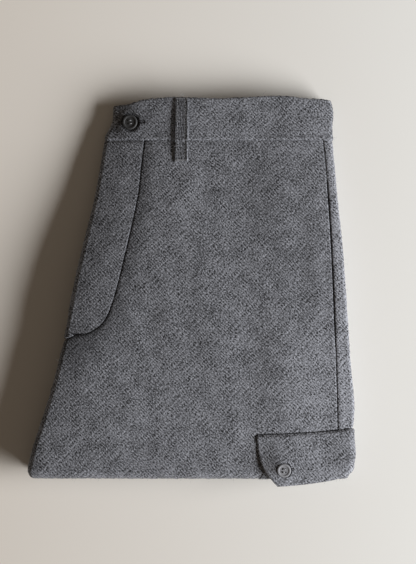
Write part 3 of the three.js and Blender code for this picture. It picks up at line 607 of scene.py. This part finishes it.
def frontPlace(x, y):
    toFly = toFlyLine(x, y)
    depth = seamRoll(toFly, frontPanel)
    depth += frontPanel["flyDip"] * math.exp(-max(0.0, toFly) / frontPanel["flyDipReach"])
    depth += seamRoll(sideSeam(y) - x, frontPanel) * (1 + frontPanel["mouthRoll"] * mouthOpen(y))
    depth = min(depth, frontPanel["deepest"]) + underBand(y, frontPanel["bandSink"])
    return foldOver(x, y, depth + troughAtFlap(x, y))


# painted shade in streaks along the fly's line: how dark, how far from the line, and half width
flyShade = {"beside": (0.16, 7, 8), "foot": (0.4, 1, 2.6), "rim": (0.42, 0, 0.9),
            "footStart": ((-62, 10), (-12, 14))}  # where the foot's streak sets in, by x and y, with its ease


def streak(name, away):
    amount, at, width = flyShade[name]
    return amount * bell(away - at, width)


def shadeBesideFly(x, y):
    # painted shade beside the fly, most of all under its foot
    away = toFlyLine(x, y)
    (footX, easeX), (footY, easeY) = flyShade["footStart"]
    foot = smooth((footY - y) / easeY) * smooth((footX - x) / easeX)
    return streak("beside", away) + foot * streak("foot", away)


front = layCloth("frontPanel", frontPanel, frontFlat, frontPlace, wool, shadeBesideFly)
print("front laid")

# the back panel's tone is painted light: the strip past the side seam is made paler for the light on it
backPanel = {"columns": 36, "rows": 220, "thickness": 1.6, "roll": 0.5, "rollWidth": 1.4, "bandSink": 0.5,
             "stripRise": 0.35, "tone": 0.36}


def backFlat(across, down):
    y = panelRows(down)
    left = sideSeam(y) + seamGap / 2
    return lerp(left, rightFold(max(y, legStartY)) + tuckRight, across), y


def backPlace(x, y):
    # the strip past the seam stands up a little beside it and slopes down to the fold
    seam = sideSeam(y)
    depth = seamRoll(x - seam, backPanel) - backPanel["stripRise"] * bell(x - seam - 3.2, 3.0)
    return foldOver(x, y, depth + underBand(y, backPanel["bandSink"]) + troughAtFlap(x, y))


back = layCloth("backPanel", backPanel, backFlat, backPlace, wool)

flyFront = {"columns": 60, "rows": 180, "thickness": 1.8, "roll": 0.35, "rollWidth": 1.0, "lift": 0.6,
            "deepest": 1.3, "bottomY": -38.2, "bandSink": 1.2, "tone": -0.03}


def flyFlat(across, down):
    y = lerp(panelTopY, flyFront["bottomY"], 1 - (1 - down) ** 1.5)
    return lerp(leftFold(y) - flyEdge(y), flyLine(y) - seamGap / 2, easeEnds(across)), y


def flyPlace(x, y):
    depth = seamRoll(toFlyLine(x, y), flyFront)
    if y < 0:
        depth += seamRoll(max(0.0, x - leftFold(y) + flyEdge(y)), flyFront)
    depth = min(depth, flyFront["deepest"]) - flyFront["lift"]
    return foldOver(x, y, depth + underBand(y, flyFront["bandSink"]))


# painted shade on the fly's edge along its line
fly = layCloth("flyFront", flyFront, flyFlat, flyPlace, wool, lambda x, y: streak("rim", toFlyLine(x, y)))

flyShield = {"columns": 12, "rows": 40, "thickness": 1.5, "topY": -4, "bottomY": -43, "sunk": 0.2}


def shieldFlat(across, down):
    y = lerp(flyShield["topY"], flyShield["bottomY"], down)
    right = min(leftFold(y) - flyEdge(y), flyLine(y) - seamGap / 2) - 2 * seamGap
    return lerp(leftFold(y) - leftTuck(y), right, across), y


shield = layCloth("flyShield", flyShield, shieldFlat, lambda x, y: foldOver(x, y, flyShield["sunk"]), wool)

waistButton = {"x": -55.3, "y": 151.4, "press": 1.3, "pressRadius": 6.6, "pressWidth": 2.0, "mound": 0.5,
               "moundAt": 0.0, "moundWidth": 14.0, "puff": 0.7, "puffRadius": 10.0, "puffWidth": 2.8,
               "shade": 0.34, "shadeRadius": 7.0, "shadeWidth": 1.1}
waistband = {"columns": 260, "rows": 44, "thickness": 2.6, "lift": 1.0, "bottomY": 135.15, "wrap": 0.85,
             "wrapAtTop": 0.55, "bottomRoll": 0.65, "bottomRollWidth": 2.4, "topRoll": 0.6,
             "topRollWidth": 1.8, "grain": -2, "seamDip": 0.25, "dipAt": 5.0, "dipWidth": 1.6,
             "fray": 0.7, "frayStep": 1.6,
             "button": waistButton}
buttonhole = {"from": (-48.2, 151.6), "to": (-42.4, 151.8), "deep": 1.1, "wide": 1.1, "ease": 1.5}


def dimple(x, y, button):
    # cloth is pressed down under a button and stands up round it
    away = math.hypot(x - button["x"], y - button["y"])
    height = -button["press"] * (1 - smooth((away - button["pressRadius"]) / button["pressWidth"]))
    fromMound = math.hypot(x - button["x"] - button["moundAt"], y - button["y"])
    height += button["mound"] * bell(fromMound, button["moundWidth"])
    if "puff" in button:
        height += button["puff"] * bell(away - button["puffRadius"], button["puffWidth"])
    return height


def waistbandFlat(across, down):
    share = 1 - easeEnds(down, 0.7)
    wrap = lerp(waistband["wrap"], waistband["wrapAtTop"], smooth((share - 0.7) / 0.3))
    levelY = lerp(waistband["bottomY"], 170, share)
    left = leftFold(levelY) - leftTuck(levelY) * wrap
    x = lerp(left, rightFold(levelY) + tuckRight * wrap, across)
    frayed = waistEdge(x) + wave(waistband["fray"], x / waistband["frayStep"], 3.3, 0.4)
    return x, lerp(waistband["bottomY"], frayed, share)


def waistbandPlace(x, y):
    fromSeam, fromTop = y - waistband["bottomY"], waistEdge(x) - y
    roll = waistband["bottomRoll"] * max(0.0, 1 - fromSeam / waistband["bottomRollWidth"]) ** 2
    roll += waistband["topRoll"] * max(0.0, 1 - fromTop / waistband["topRollWidth"]) ** 2
    roll += waistband["seamDip"] * bell(fromSeam - waistband["dipAt"], waistband["dipWidth"])
    x1, y1 = buttonhole["from"]
    x2, ease = buttonhole["to"][0], buttonhole["ease"]
    ends = smooth((x - x1 + 1) / ease) * smooth((x2 + 1 - x) / ease)
    roll += buttonhole["deep"] * bell(y - y1, buttonhole["wide"]) * ends
    return foldOver(x, y, roll - waistband["lift"] - dimple(x, y, waistButton))


band = layCloth("waistBand", waistband, waistbandFlat, waistbandPlace, wool)

# the loop's tone is painted shade: its face is made darker for the shade on it
beltLoop = {"columns": 40, "rows": 110, "thickness": 1.3, "width": 12.9, "low": 0.9, "bow": 1.7,
            "tilt": 0.6, "top": (-8.7, 173.4), "foot": (-9.4, 115.4), "edgeDrop": 0.5, "rimAt": 0.8,
            "rimWidth": 0.25, "rim": 0.22, "stitchAt": 0.5, "stitchDip": 0.22, "uneven": 0.18,
            "tone": -0.31, "grain": 40}


def loopShare(y):
    # how far down the loop
    topY, footY = beltLoop["top"][1], beltLoop["foot"][1]
    return clamp((topY - y) / (topY - footY), 0, 1)


def loopMiddle(y):
    return lerp(beltLoop["top"][0], beltLoop["foot"][0], loopShare(y))


def loopPlace(x, y):
    share = loopShare(y)
    off = (x - loopMiddle(y)) / (beltLoop["width"] / 2)
    ground = waistband["lift"] * smooth((y - waistSeamY + 2.5) / 3)
    stands = (4 * share * (1 - share)) ** 0.6
    lift = beltLoop["low"] + beltLoop["bow"] * stands + beltLoop["tilt"] * off * (0.4 + 0.6 * stands)
    lift += beltLoop["rim"] * bell(off - beltLoop["rimAt"], beltLoop["rimWidth"])
    lift -= beltLoop["stitchDip"] * bell(off - beltLoop["stitchAt"], 0.1)
    lift -= beltLoop["edgeDrop"] * smooth((abs(off) - 0.82) / 0.18)
    lift += wave(beltLoop["uneven"], x / 6, y / 9, 2.2)
    return foldOver(x, y, -ground - lift)


def loopFlat(across, down):
    y = lerp(beltLoop["top"][1], beltLoop["foot"][1], down)
    return loopMiddle(y) + (across - 0.5) * beltLoop["width"], y


loop = layCloth("beltLoop", beltLoop, loopFlat, loopPlace, wool)
print("fly, waistband and loop laid")

# The cargo pocket and its flap

cargoPocket = {"columns": 60, "rows": 40, "thickness": 1.0, "topY": -142, "lift": 1.15, "liftAtFold": 0.4,
               "wrap": 0.8, "hugFrom": -156, "hugReach": 10,
               "side": [(-142, 71), (-158, 66.4), (-170, 61.4), (-190, 58)]}
pocketSide = through(cargoPocket["side"])


def pocketFlat(across, down):
    y = lerp(cargoPocket["topY"], legStartY - tuckLegs * cargoPocket["wrap"], down)
    return lerp(pocketSide(y), rightFold(max(y, legStartY)) + tuckRight, across), y


def pocketPlace(x, y):
    hug = smooth((cargoPocket["hugFrom"] - y) / cargoPocket["hugReach"])
    return foldOver(x, y, -lerp(cargoPocket["lift"], cargoPocket["liftAtFold"], hug))


pocket = layCloth("cargoPocket", cargoPocket, pocketFlat, pocketPlace, wool)

flapButton = {"x": 82.5, "y": -160.2, "press": 2.6, "pressRadius": 6.1, "pressWidth": 1.0, "mound": 2.2,
              "moundAt": -3.5, "moundWidth": 14.0, "shade": -0.10, "shadeRadius": 6.7, "shadeWidth": 0.8}
cargoFlap = {"columns": 130, "rows": 90, "thickness": 1.8, "seamLift": 0.5, "edgeLift": 1.6, "lift": 3.8,
             "droopRadius": 30.0, "hemRound": 0.9, "sideRound": 0.5, "sideRoundWidth": 1.6, "grain": 4,
             "tone": 0.05, "overLift": 3.0, "leftDrop": 1.2, "leftReach": 20,
             "wrap": (0.62, 0.5), "sideY": (-126, -168), "button": flapButton}
flapSwells = [(96, -150, 18, 14, 20, 0.3), (120, -148, 12, 16, -10, -0.3), (74, -146, 8, 14, 15, -0.2),
              (90, -171, 5, 3, 60, -0.6), (134, -150, 8, 16, 0, 0.2)]


def flapFlat(across, down):
    down = easeEnds(down, 0.5)
    wrap = lerp(*cargoFlap["wrap"], smooth((down - 0.4) / 0.4))
    right = rightFold(max(lerp(*cargoFlap["sideY"], down), legStartY)) + tuckRight * wrap
    x = lerp(flapSide(down), right, easeEnds(across, 0.4))
    return x, lerp(flapSeam(x), flapHem(x), down)


def flapPlace(x, y):
    down = clamp((y - flapSeam(x)) / (flapHem(x) - flapSeam(x)), 0, 1)
    lift = lerp(cargoFlap["seamLift"], cargoFlap["edgeLift"], smooth(down / 0.05))
    lift += (cargoFlap["lift"] - cargoFlap["edgeLift"]) * min(1.0, down / 0.7)
    fromSide = x - flapSide(down)
    lift -= cargoFlap["leftDrop"] * (1 - smooth(fromSide / cargoFlap["leftReach"])) * smooth(down / 0.2)
    lift -= cargoFlap["hemRound"] * smooth((down - 0.95) / 0.05)
    lift -= cargoFlap["sideRound"] * (1 - smooth(fromSide / cargoFlap["sideRoundWidth"]))
    lift += softSpots(x, y, flapSwells) + dimple(x, y, flapButton) * smooth(down / 0.3)
    past = max(0.0, legStartY - y)
    point = foldOver(x, max(y, legStartY), -lift)
    point.y -= past
    point.z -= past * past / (2 * cargoFlap["droopRadius"])
    return point


flap = layCloth("cargoFlap", cargoFlap, flapFlat, flapPlace, wool)
print("pocket and flap laid")

# The layers under the top cloth

underLayers = {
    "stationGap": 2.2,
    "clearance": 3.3,
    "capRings": 8,
    "sides": ["left", "legFold", "right", "waist"],
    "radius": {"left": leftRadius, "legFold": lambda y: legRadius, "right": lambda y: rightRadius,
               "waist": lambda y: 3.0},
    "room": {"left": through([(175, 2), (118, 2), (100, 1.4), (-45, 1.4), (-62, 0.6), (-170, 0.6)]),
             "right": through([(175, 2), (118, 2), (98, 0.6), (-110, 0.6), (-132, 3.3), (-170, 3.3)]),
             "legFold": lambda y: 0.6},
    "slot": {"left": 12.5, "legFold": 16.0, "right": 9.0, "waist": 0},
    "folds": {
        "left": [(0.27, 1.4, 1.5), (0.24, 3.0, 1.4), (0.26, 0.8, 1.5), (0.23, 2.2, 1.4)],
        "legFold": [(0.26, 7.0, 0.9), (0.24, 9.0, 0.9), (0.26, 5.5, 0.9), (0.24, 8.0, 0.9)],
        "right": [(0.21, 0.6, 1.5), (0.2, 2.0, 1.4), (0.2, 0.9, 1.4), (0.2, 2.8, 1.4), (0.19, 1.6, 1.4)],
        "waist": [(0.24, 1.9, 1.4), (0.24, 2.4, 1.4), (0.26, 2.0, 1.4), (0.26, 3.2, 1.4)],
    },
    "narrower": 4.0,  # the legs under the left side end further in towards the waist
    "profileSteps": 60,
    "peep": {"x": 92, "halfWidth": 20, "reach": 1.9},
    "wander": 0.7,
    "ripple": 0.25,
    "steepest": 86,  # how far round each fold's profile goes, in degrees
    "innerCorner": 1.5,
    "tone": 0.92,
}


def sideProfile(sideName, x, y, along):
    # the stack's edge on one side, from under the top cloth down to the floor: (inset, height) rows
    radius = underLayers["radius"][sideName](y)
    slot = underLayers["slot"][sideName]
    folds = underLayers["folds"][sideName]
    clearance = underLayers["clearance"]
    steepest = math.radians(underLayers["steepest"])
    top = topHeight(x, y)
    rows = []
    start = clearance
    if slot:
        room = underLayers["room"][sideName](y)
        turned = max(0.3, radius - clearance)
        for k in range(9):
            angle = math.pi * (0.5 - k / 8)
            rows.append((radius - turned * math.cos(angle), top - radius + turned * math.sin(angle)))
        rows.append((slot, top - 2 * radius + clearance))
        start = 2 * radius + room
        rows.append((slot, top - start))
    steps = (underLayers["profileSteps"] - len(rows)) // len(folds)
    high = whole = max(2.0, top - start)
    narrower = underLayers["narrower"] * smooth((y + 120) / 240) if sideName == "left" else 0
    for f, (share, inset, roundness) in enumerate(folds):
        wander = wave(underLayers["wander"], along / 45, f * 7.3, 1.7)
        wander += wave(underLayers["ripple"], along / 9, f * 5.1, 4.2)
        peep = 0
        if sideName == "waist" and f == 0:
            away = (x - underLayers["peep"]["x"]) / underLayers["peep"]["halfWidth"]
            peep = underLayers["peep"]["reach"] * math.exp(-(away**4))
        low = high - whole * share
        count = underLayers["profileSteps"] - len(rows) if f == len(folds) - 1 else steps
        for k in range(count):
            angle = lerp(steepest, -steepest, k / (count - 1))
            rows.append((
                inset + narrower + wander - peep + roundness * (1 - math.cos(angle)),
                (high + low) / 2 + (high - low) / 2 * math.sin(angle) / math.sin(steepest),
            ))
        high = low
    rows[-1] = (rows[-1][0], 0.0)
    return rows


def aroundStack():
    # stations round the outline: x, y of the fold's start, the side's number, and how far round a corner
    topLeftY = waistEdge(leftFold(165)) - 3
    topRightY = waistEdge(rightFold(165)) - 3

    def alongFold(fold, fromY, toY):
        return lambda t: (fold(lerp(fromY, toY, t)), lerp(fromY, toY, t))

    def waistPoint(t):
        x = lerp(rightFold(topRightY), leftFold(topLeftY), t)
        return x, waistEdge(x) - 3

    ends = [  # a point on each side, from 0 to 1, and about how long the side is
        (alongFold(leftFold, topLeftY, legStartY), topLeftY - legStartY),
        (lambda t: (lerp(leftFold(legStartY), rightFold(legStartY), t), legStartY), 280),
        (alongFold(rightFold, legStartY, topRightY), topRightY - legStartY),
        (waistPoint, 200),
    ]
    stations = []
    for number, (pointAt, length) in enumerate(ends):
        count = round(length / underLayers["stationGap"])
        for k in range(1, count):
            stations.append((*pointAt(k / count), number, None))
        for k in range(9):
            stations.append((*pointAt(1), number, k / 8))
    return stations


def stackColumn(x, y, number, blend, along):
    # one upright line of points down the stack's edge, blended from side to side at a corner
    name, nextName = underLayers["sides"][number], underLayers["sides"][(number + 1) % 4]
    here, there = underLayers["radius"][name](y), underLayers["radius"][nextName](y)
    heading = math.pi * (1 + number / 2)
    outX, outY = math.cos(heading), math.sin(heading)
    first = sideProfile(name, x, y, along)
    if blend is None:
        return [Vector((x + outX * (here - inset), y + outY * (here - inset), z)) for inset, z in first]
    second = sideProfile(nextName, x, y, along)
    turn = blend * math.pi / 2
    radius = 1 / math.hypot(math.cos(turn) / here, math.sin(turn) / there)
    share = (here - radius) / (here - there)
    column = []
    for (insetA, zA), (insetB, zB) in zip(first, second):
        a, b = here - insetA, there - insetB
        z = lerp(zA, zB, share)
        if a > 0 and b > 0:
            reach = radius - lerp(insetA, insetB, share)
            aim = heading + turn
            column.append(Vector((x + math.cos(aim) * reach, y + math.sin(aim) * reach, z)))
        else:
            alongA = a - max(a, underLayers["innerCorner"]) * (1 - math.cos(turn))
            alongB = b - max(b, underLayers["innerCorner"]) * (1 - math.sin(turn))
            column.append(Vector((x + outX * alongA - outY * alongB, y + outY * alongA + outX * alongB, z)))
    return column


def runLengths(points):
    run = [0.0]
    for a, b in zip(points, points[1:]):
        run.append(run[-1] + (b - a).length)
    return run


def buildUnderLayers():
    columns = []
    along = 0.0
    midX, midY = layout["middle"]
    rings = underLayers["capRings"]
    for x, y, number, blend in aroundStack():
        column = stackColumn(x, y, number, blend, along)
        if columns:
            along += (column[-1] - columns[-1][-1]).length
        cap = []
        for c in range(rings, 0, -1):
            capX, capY = lerp(column[0].x, midX, c / rings), lerp(column[0].y, midY, c / rings)
            cap.append(Vector((capX, capY, topHeight(capX, capY) - underLayers["clearance"])))
        columns.append(cap + column)
    columns.append(columns[0])
    rows = len(columns[0])
    bm = bmesh.new()
    bmesh.ops.create_grid(bm, x_segments=len(columns) - 1, y_segments=rows - 1, size=0.5)
    uv = bm.loops.layers.uv.new("cloth")
    tone = bm.verts.layers.float.new("tone")
    spans = runLengths([column[-1] for column in columns])
    downs = [runLengths(column) for column in columns]
    place = {}
    for v in bm.verts:
        place[v] = (round((v.co.x + 0.5) * (len(columns) - 1)), round((0.5 - v.co.y) * (rows - 1)))
        v[tone] = underLayers["tone"]
    for face in bm.faces:
        for corner in face.loops:
            c, r = place[corner.vert]
            corner[uv].uv = (spans[c] * mm, -downs[c][r] * mm)
    for v in bm.verts:
        c, r = place[v]
        v.co = columns[c][r]
    bmesh.ops.remove_doubles(bm, verts=bm.verts[:], dist=0.0005)
    sole = bmesh.ops.holes_fill(bm, edges=[e for e in bm.edges if e.is_boundary], sides=0)["faces"]
    for face in sole:
        for corner in face.loops:
            corner[uv].uv = (corner.vert.co.x * mm, corner.vert.co.y * mm)
    bmesh.ops.recalc_face_normals(bm, faces=bm.faces[:])
    return finishPiece(bm, "underLayers", wool)


under = buildUnderLayers()
print("layers stacked")

# Sewing: stitches down the belt loop, round the buttonhole, in the fly's groove and through the buttons


def addStitch(bm, a, b, radius):
    # a short plump stitch from one point to another
    run = b - a
    turn = run.to_track_quat("X", "Z").to_matrix().to_4x4()
    size = Matrix.Diagonal((run.length / 2, radius, radius, 1))
    place = Matrix.Translation((a + b) / 2) @ turn @ size
    bmesh.ops.create_icosphere(bm, subdivisions=2, radius=1.0, matrix=place)


sewing = {"loopPitch": 2.5, "loopStitch": 1.4, "loopRadius": 0.26, "holeCount": 15, "holeReach": 1.35,
          "holeRadius": 0.21, "flyPitch": 3.4, "flyStitch": 2.3, "flyRadius": 0.2,
          "flapFrom": 59.0, "flapPitch": 3.1, "flapStitch": 2.5, "flapRadius": 0.29}


def buildLoopStitches():
    bm = bmesh.new()
    half = beltLoop["width"] / 2
    topY, footY = beltLoop["top"][1], beltLoop["foot"][1]
    count = int((topY - footY - 4) / sewing["loopPitch"])
    for line in (-0.62, beltLoop["stitchAt"]):
        for k in range(count):
            ends = []
            startY = topY - 2.5 - k * sewing["loopPitch"]
            for y in (startY, startY - sewing["loopStitch"]):
                ends.append(loopPlace(loopMiddle(y) + line * half, y) + Vector((0, 0, 0.06)))
            addStitch(bm, *ends, sewing["loopRadius"])
    for y in (footY + 1.3, footY + 1.9, topY - 1.2):  # the ends are tacked down
        for k in range(9):
            x = loopMiddle(y) + lerp(-0.8, 0.8, k / 8) * half
            addStitch(bm, loopPlace(x - 0.5, y), loopPlace(x + 0.7, y + 0.3), 0.24)
    return finishPiece(bm, "loopStitches", loopThread)


def buildButtonhole():
    bm = bmesh.new()
    (x1, y1), (x2, y2) = buttonhole["from"], buttonhole["to"]
    up = Vector((0, 0, 0.22))
    for side in (-1, 1):
        for k in range(sewing["holeCount"]):
            t = k / (sewing["holeCount"] - 1)
            x, y = lerp(x1, x2, t), lerp(y1, y2, t)
            inner = waistbandPlace(x, y + side * 0.35) + up
            outer = waistbandPlace(x + 0.08, y + side * sewing["holeReach"]) + up * 0.5
            addStitch(bm, inner, outer, sewing["holeRadius"])
    for k in range(7):  # the bar across its end
        y = lerp(y2 - 1.2, y2 + 1.2, k / 6)
        inner, outer = waistbandPlace(x2 + 0.2, y) + up, waistbandPlace(x2 + 1.3, y) + up * 0.5
        addStitch(bm, inner, outer, sewing["holeRadius"])
    return finishPiece(bm, "buttonholeStitches", darkThread)


def buildFlyStitches():
    bm = bmesh.new()
    walked, last = 0.0, Vector((*flySteps[8], 0))
    start = None
    for x, y in flySteps[8:]:
        if x < leftFold(y) + 2:
            break
        walked += (Vector((x, y, 0)) - last).length
        last = Vector((x, y, 0))
        beat = walked % sewing["flyPitch"]
        if beat < sewing["flyStitch"]:
            start = start or last.copy()
        elif start is not None:
            ends = [foldOver(p.x, p.y, frontPanel["roll"] + 0.25) for p in (start, last)]
            addStitch(bm, *ends, sewing["flyRadius"])
            start = None
    return finishPiece(bm, "flyStitches", darkThread)


def buildFlapStitches():
    # a whipped row of near-black stitches along the flap's seam, each a little askew; their darkness is
    # partly painted shade for the shadow in the seam
    bm = bmesh.new()
    chance = random.Random(3)
    x = sewing["flapFrom"]
    while x < rightFold(cargoFlap["sideY"][0]) + 1:
        y = flapSeam(x) + 0.25 + chance.uniform(-0.15, 0.15)
        long = sewing["flapStitch"] * chance.uniform(0.85, 1.15)
        start = foldOver(x - long / 2, y - 0.5, -0.1)
        addStitch(bm, start, foldOver(x + long / 2, y + 0.5, -0.1), sewing["flapRadius"])
        x += sewing["flapPitch"] * chance.uniform(0.92, 1.08)
    return finishPiece(bm, "flapStitches", seamThreadAndShade)


buttonThread = {"between": 1.45, "strands": (-0.28, 0, 0.28), "crest": 0.75, "half": 1.6, "sunk": 0.25,
                "radius": 0.2}


def buildButtonThreads(nodeName, name, lean):
    # two bars of thread between the four holes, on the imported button's own dish
    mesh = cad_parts[nodeName].data
    axis = Vector((0, 0, 0))
    middle = Vector((0, 0, 0))
    area = 0.0
    for face in mesh.polygons:
        if face.normal.z > 0.9:
            axis += face.normal * face.area
            middle += face.center * face.area
            area += face.area
    axis.normalize()
    middle /= area * mm
    middle -= Vector(layout["shift"])
    lying = Matrix.Rotation(math.radians(lean), 3, "Z") @ Vector((1, 0, 0))
    across = lying.cross(axis).cross(axis).normalized()
    down = across.cross(axis)
    bm = bmesh.new()
    for side in (-1, 1):
        for strand in buttonThread["strands"]:
            place = middle + down * (side * buttonThread["between"] + strand)
            crest, end = place + axis * buttonThread["crest"], place - axis * buttonThread["sunk"]
            addStitch(bm, end + across * buttonThread["half"], crest, buttonThread["radius"])
            addStitch(bm, crest, end - across * buttonThread["half"], buttonThread["radius"])
    return finishPiece(bm, name, sewingThread)


loopStitches = buildLoopStitches()
holeStitches = buildButtonhole()
flyStitches = buildFlyStitches()
flapStitches = buildFlapStitches()
waistThreads = buildButtonThreads("waist_button", "waistButtonThreads", 8)
flapThreads = buildButtonThreads("flap_button", "flapButtonThreads", -20)
print("sewn")

# Wool fibres standing off the cloth, most of them at the outline

fuzz = {"count": 15000, "segments": 3, "length": (1.6, 4.6), "width": (0.05, 0.11), "lift": 0.55, "bend": 0.7,
        "edgeShare": 2.2, "floor": 0.3, "seed": 7, "dark": (0.03, 0.03, 0.033, 1),
        "light": (0.46, 0.465, 0.49, 1), "strayWidth": 0.22,
        # a few long strays: x, y, heading and length
        "strays": [(-11.5, 174.6, 0.35, 0.9, 7.5), (-10.2, 174.8, 0.7, 0.7, 6.0),
                   (-7.5, 174.8, -0.3, 0.9, 4.5), (-66, 160, -0.8, 0.4, 5.0), (64, 175.5, 0.3, 0.8, 5.0)]}


def makeFuzzMaterial():
    material, tree, shader = newMaterial("woolFibre", 0.9)
    tree.links.new(addMix(tree, addTone(tree), fuzz["dark"], fuzz["light"]), shader.inputs["Base Color"])
    return material


def buildFuzz(pieces):
    chance = random.Random(fuzz["seed"])
    roots, weights = [], []
    for piece in pieces:
        for face in piece.data.polygons:
            if face.normal.z > -0.25:
                roots.append((face.center / mm, face.normal.copy()))
                weights.append(face.area * (1 + fuzz["edgeShare"] * (1 - abs(face.normal.z))))
    chosen = chance.choices(roots, weights, k=fuzz["count"])
    fibres = []
    for root, normal in chosen:
        aside = Vector([chance.gauss(0, 1) for _ in range(3)])
        aside = (aside - normal * aside.dot(normal)).normalized()
        way = (aside + normal * chance.uniform(0.1, 2 * fuzz["lift"])).normalized()
        curl = Vector([chance.gauss(0, 1) for _ in range(3)]) * fuzz["bend"] / 2
        length = chance.uniform(*fuzz["length"]) * chance.uniform(0.5, 1)
        width = way.cross(normal + curl * 0.2).normalized() * chance.uniform(*fuzz["width"])
        jitter = aside * chance.uniform(-0.8, 0.8)
        root = root + jitter - Vector(layout["shift"])
        fibres.append((root, way, curl, length, width, chance.random() ** 1.2))
    for x, y, wayX, wayY, length in fuzz["strays"]:
        way = Vector((wayX, wayY, 0.25)).normalized()
        width = way.cross(Vector((0, 0, 1))).normalized() * fuzz["strayWidth"]
        fibres.append((foldOver(x, y, -1.2), way, Vector((0.3, -0.2, 0)), length, width, 0.9))
    count, segments = len(fibres), fuzz["segments"]
    bm = bmesh.new()
    bmesh.ops.create_grid(bm, x_segments=segments, y_segments=2 * count - 1, size=0.5)
    tone = bm.verts.layers.float.new("tone")
    between = [f for f in bm.faces if round((0.5 - f.calc_center_median().y) * (2 * count - 1) - 0.5) % 2]
    bmesh.ops.delete(bm, geom=between, context="FACES_ONLY")
    for v in bm.verts:
        row = round((0.5 - v.co.y) * (2 * count - 1))
        t = v.co.x + 0.5
        root, way, curl, length, width, shade = fibres[row // 2]
        middle = root + (way * t + curl * t * t) * length
        middle.z = max(middle.z, fuzz["floor"])
        v.co = middle + width * (0.5 if row % 2 else -0.5) * (1 - 0.7 * t)
        v[tone] = shade
    bmesh.ops.delete(bm, geom=[e for e in bm.edges if not e.link_faces], context="EDGES")
    return finishPiece(bm, "woolFibres", makeFuzzMaterial(), False)


fibres = buildFuzz([front, back, fly, shield, band, loop, pocket, flap, under])
print("fibres grown")

# What each piece stands for: it rides on the root in place of its hidden imported part, and the buttons get
# their horn

for piece, node, lies in [
    (front, "front_panel", under), (back, "back_panel", under), (fly, "fly_front", under),
    (shield, "fly_shield", under), (band, "waistband", under), (loop, "belt_loop", band),
    (pocket, "cargo_pocket", front), (flap, "cargo_flap", front),
]:
    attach(piece, "root")
    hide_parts(node)
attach(under, "root")
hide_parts("under_layers")
for piece in (loopStitches, holeStitches, flyStitches, flapStitches, waistThreads, flapThreads, fibres):
    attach(piece, "root")
# each button gets its horn copy, with painted shade at the waist and painted light on the flap
for nodeName, horn in (("waist_button", hornPaintedShade), ("flap_button", hornPaintedLight)):
    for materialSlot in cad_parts[nodeName].material_slots:
        materialSlot.link = "OBJECT"
        materialSlot.material = horn

# Floor, light and camera

studio = {
    "photoMiddle": (14.85, 7.65, 15.0),  # before the shift
    "fieldHeight": 507.6,
    "cameraDistance": 1700.0,
    "floorLeft": (0.803, 0.758, 0.703, 1),  # painted light: darker and warmer away from the window
    "floorRight": (0.818, 0.822, 0.808, 1),
    "floorTurn": 2.4,  # how fast one passes into the other, by the metre
    "floorFade": 0.12,  # painted light: the floor's upper part is lighter by this share over a metre
    "floorMost": 1.15,
    "keyDirection": (0.95, -0.29),
    "keyElevation": 19.5,
    "keyDistance": 3000.0,
    "keyWide": 3000.0,  # like a long low window
    "keyTall": 1400.0,
    "keyPower": 213.5,
    "keyColor": (1.0, 0.995, 0.985),
    "skyColor": (1.0, 0.82, 0.64, 1),
    "skyStrength": 0.103,
}


def makeFloor():
    material, tree, shader = newMaterial("paleFloor", 0.9, 0.1)
    place = tree.nodes.new("ShaderNodeSeparateXYZ")
    tree.links.new(tree.nodes.new("ShaderNodeTexCoord").outputs["Object"], place.inputs[0])
    # painted light across the floor: the colour turns from left to right and the upper part is lighter
    rightward = addMath(tree, "ADD", addMath(tree, "MULTIPLY", place.outputs["X"], studio["floorTurn"]), 0.5)
    mixed = addMix(tree, rightward, studio["floorLeft"], studio["floorRight"])
    fade = addMath(tree, "ADD", addMath(tree, "MULTIPLY", place.outputs["Y"], studio["floorFade"]), 1.0)
    shaded = addVectorMath(tree, "MULTIPLY", mixed, addMath(tree, "MINIMUM", fade, studio["floorMost"]))
    tree.links.new(shaded, shader.inputs["Base Color"])
    bm = bmesh.new()
    bmesh.ops.create_grid(bm, x_segments=1, y_segments=1, size=3.0)
    return addPiece(bm, "floor", material)


makeFloor()

scene = bpy.context.scene
target = (Vector(studio["photoMiddle"]) + Vector(layout["shift"])) * mm
camera = bpy.data.objects.new("camera", bpy.data.cameras.new("camera"))
camera.data.sensor_fit = "VERTICAL"
camera.data.sensor_height = 36.0
camera.data.lens = 36.0 * studio["cameraDistance"] / studio["fieldHeight"]
camera.data.clip_start = 0.05
camera.location = target + Vector((0, 0, studio["cameraDistance"] * mm))
scene.collection.objects.link(camera)
scene.camera = camera

level = Vector((*studio["keyDirection"], 0)).normalized()
rise = math.radians(studio["keyElevation"])
toKey = level * math.cos(rise) + Vector((0, 0, math.sin(rise)))
key = bpy.data.objects.new("key", bpy.data.lights.new("key", "AREA"))
key.data.shape = "ELLIPSE"
key.data.size = studio["keyWide"] * mm
key.data.size_y = studio["keyTall"] * mm
key.data.energy = studio["keyPower"]
key.data.color = studio["keyColor"]
key.location = toKey * studio["keyDistance"] * mm
key.rotation_euler = toKey.to_track_quat("Z", "Y").to_euler()
scene.collection.objects.link(key)

world = bpy.data.worlds.new("room")
world.use_nodes = True
background = world.node_tree.nodes["Background"].inputs
background["Color"].default_value = studio["skyColor"]
background["Strength"].default_value = studio["skyStrength"]
scene.world = world
scene.view_settings.view_transform = "Standard"
print("studio set")
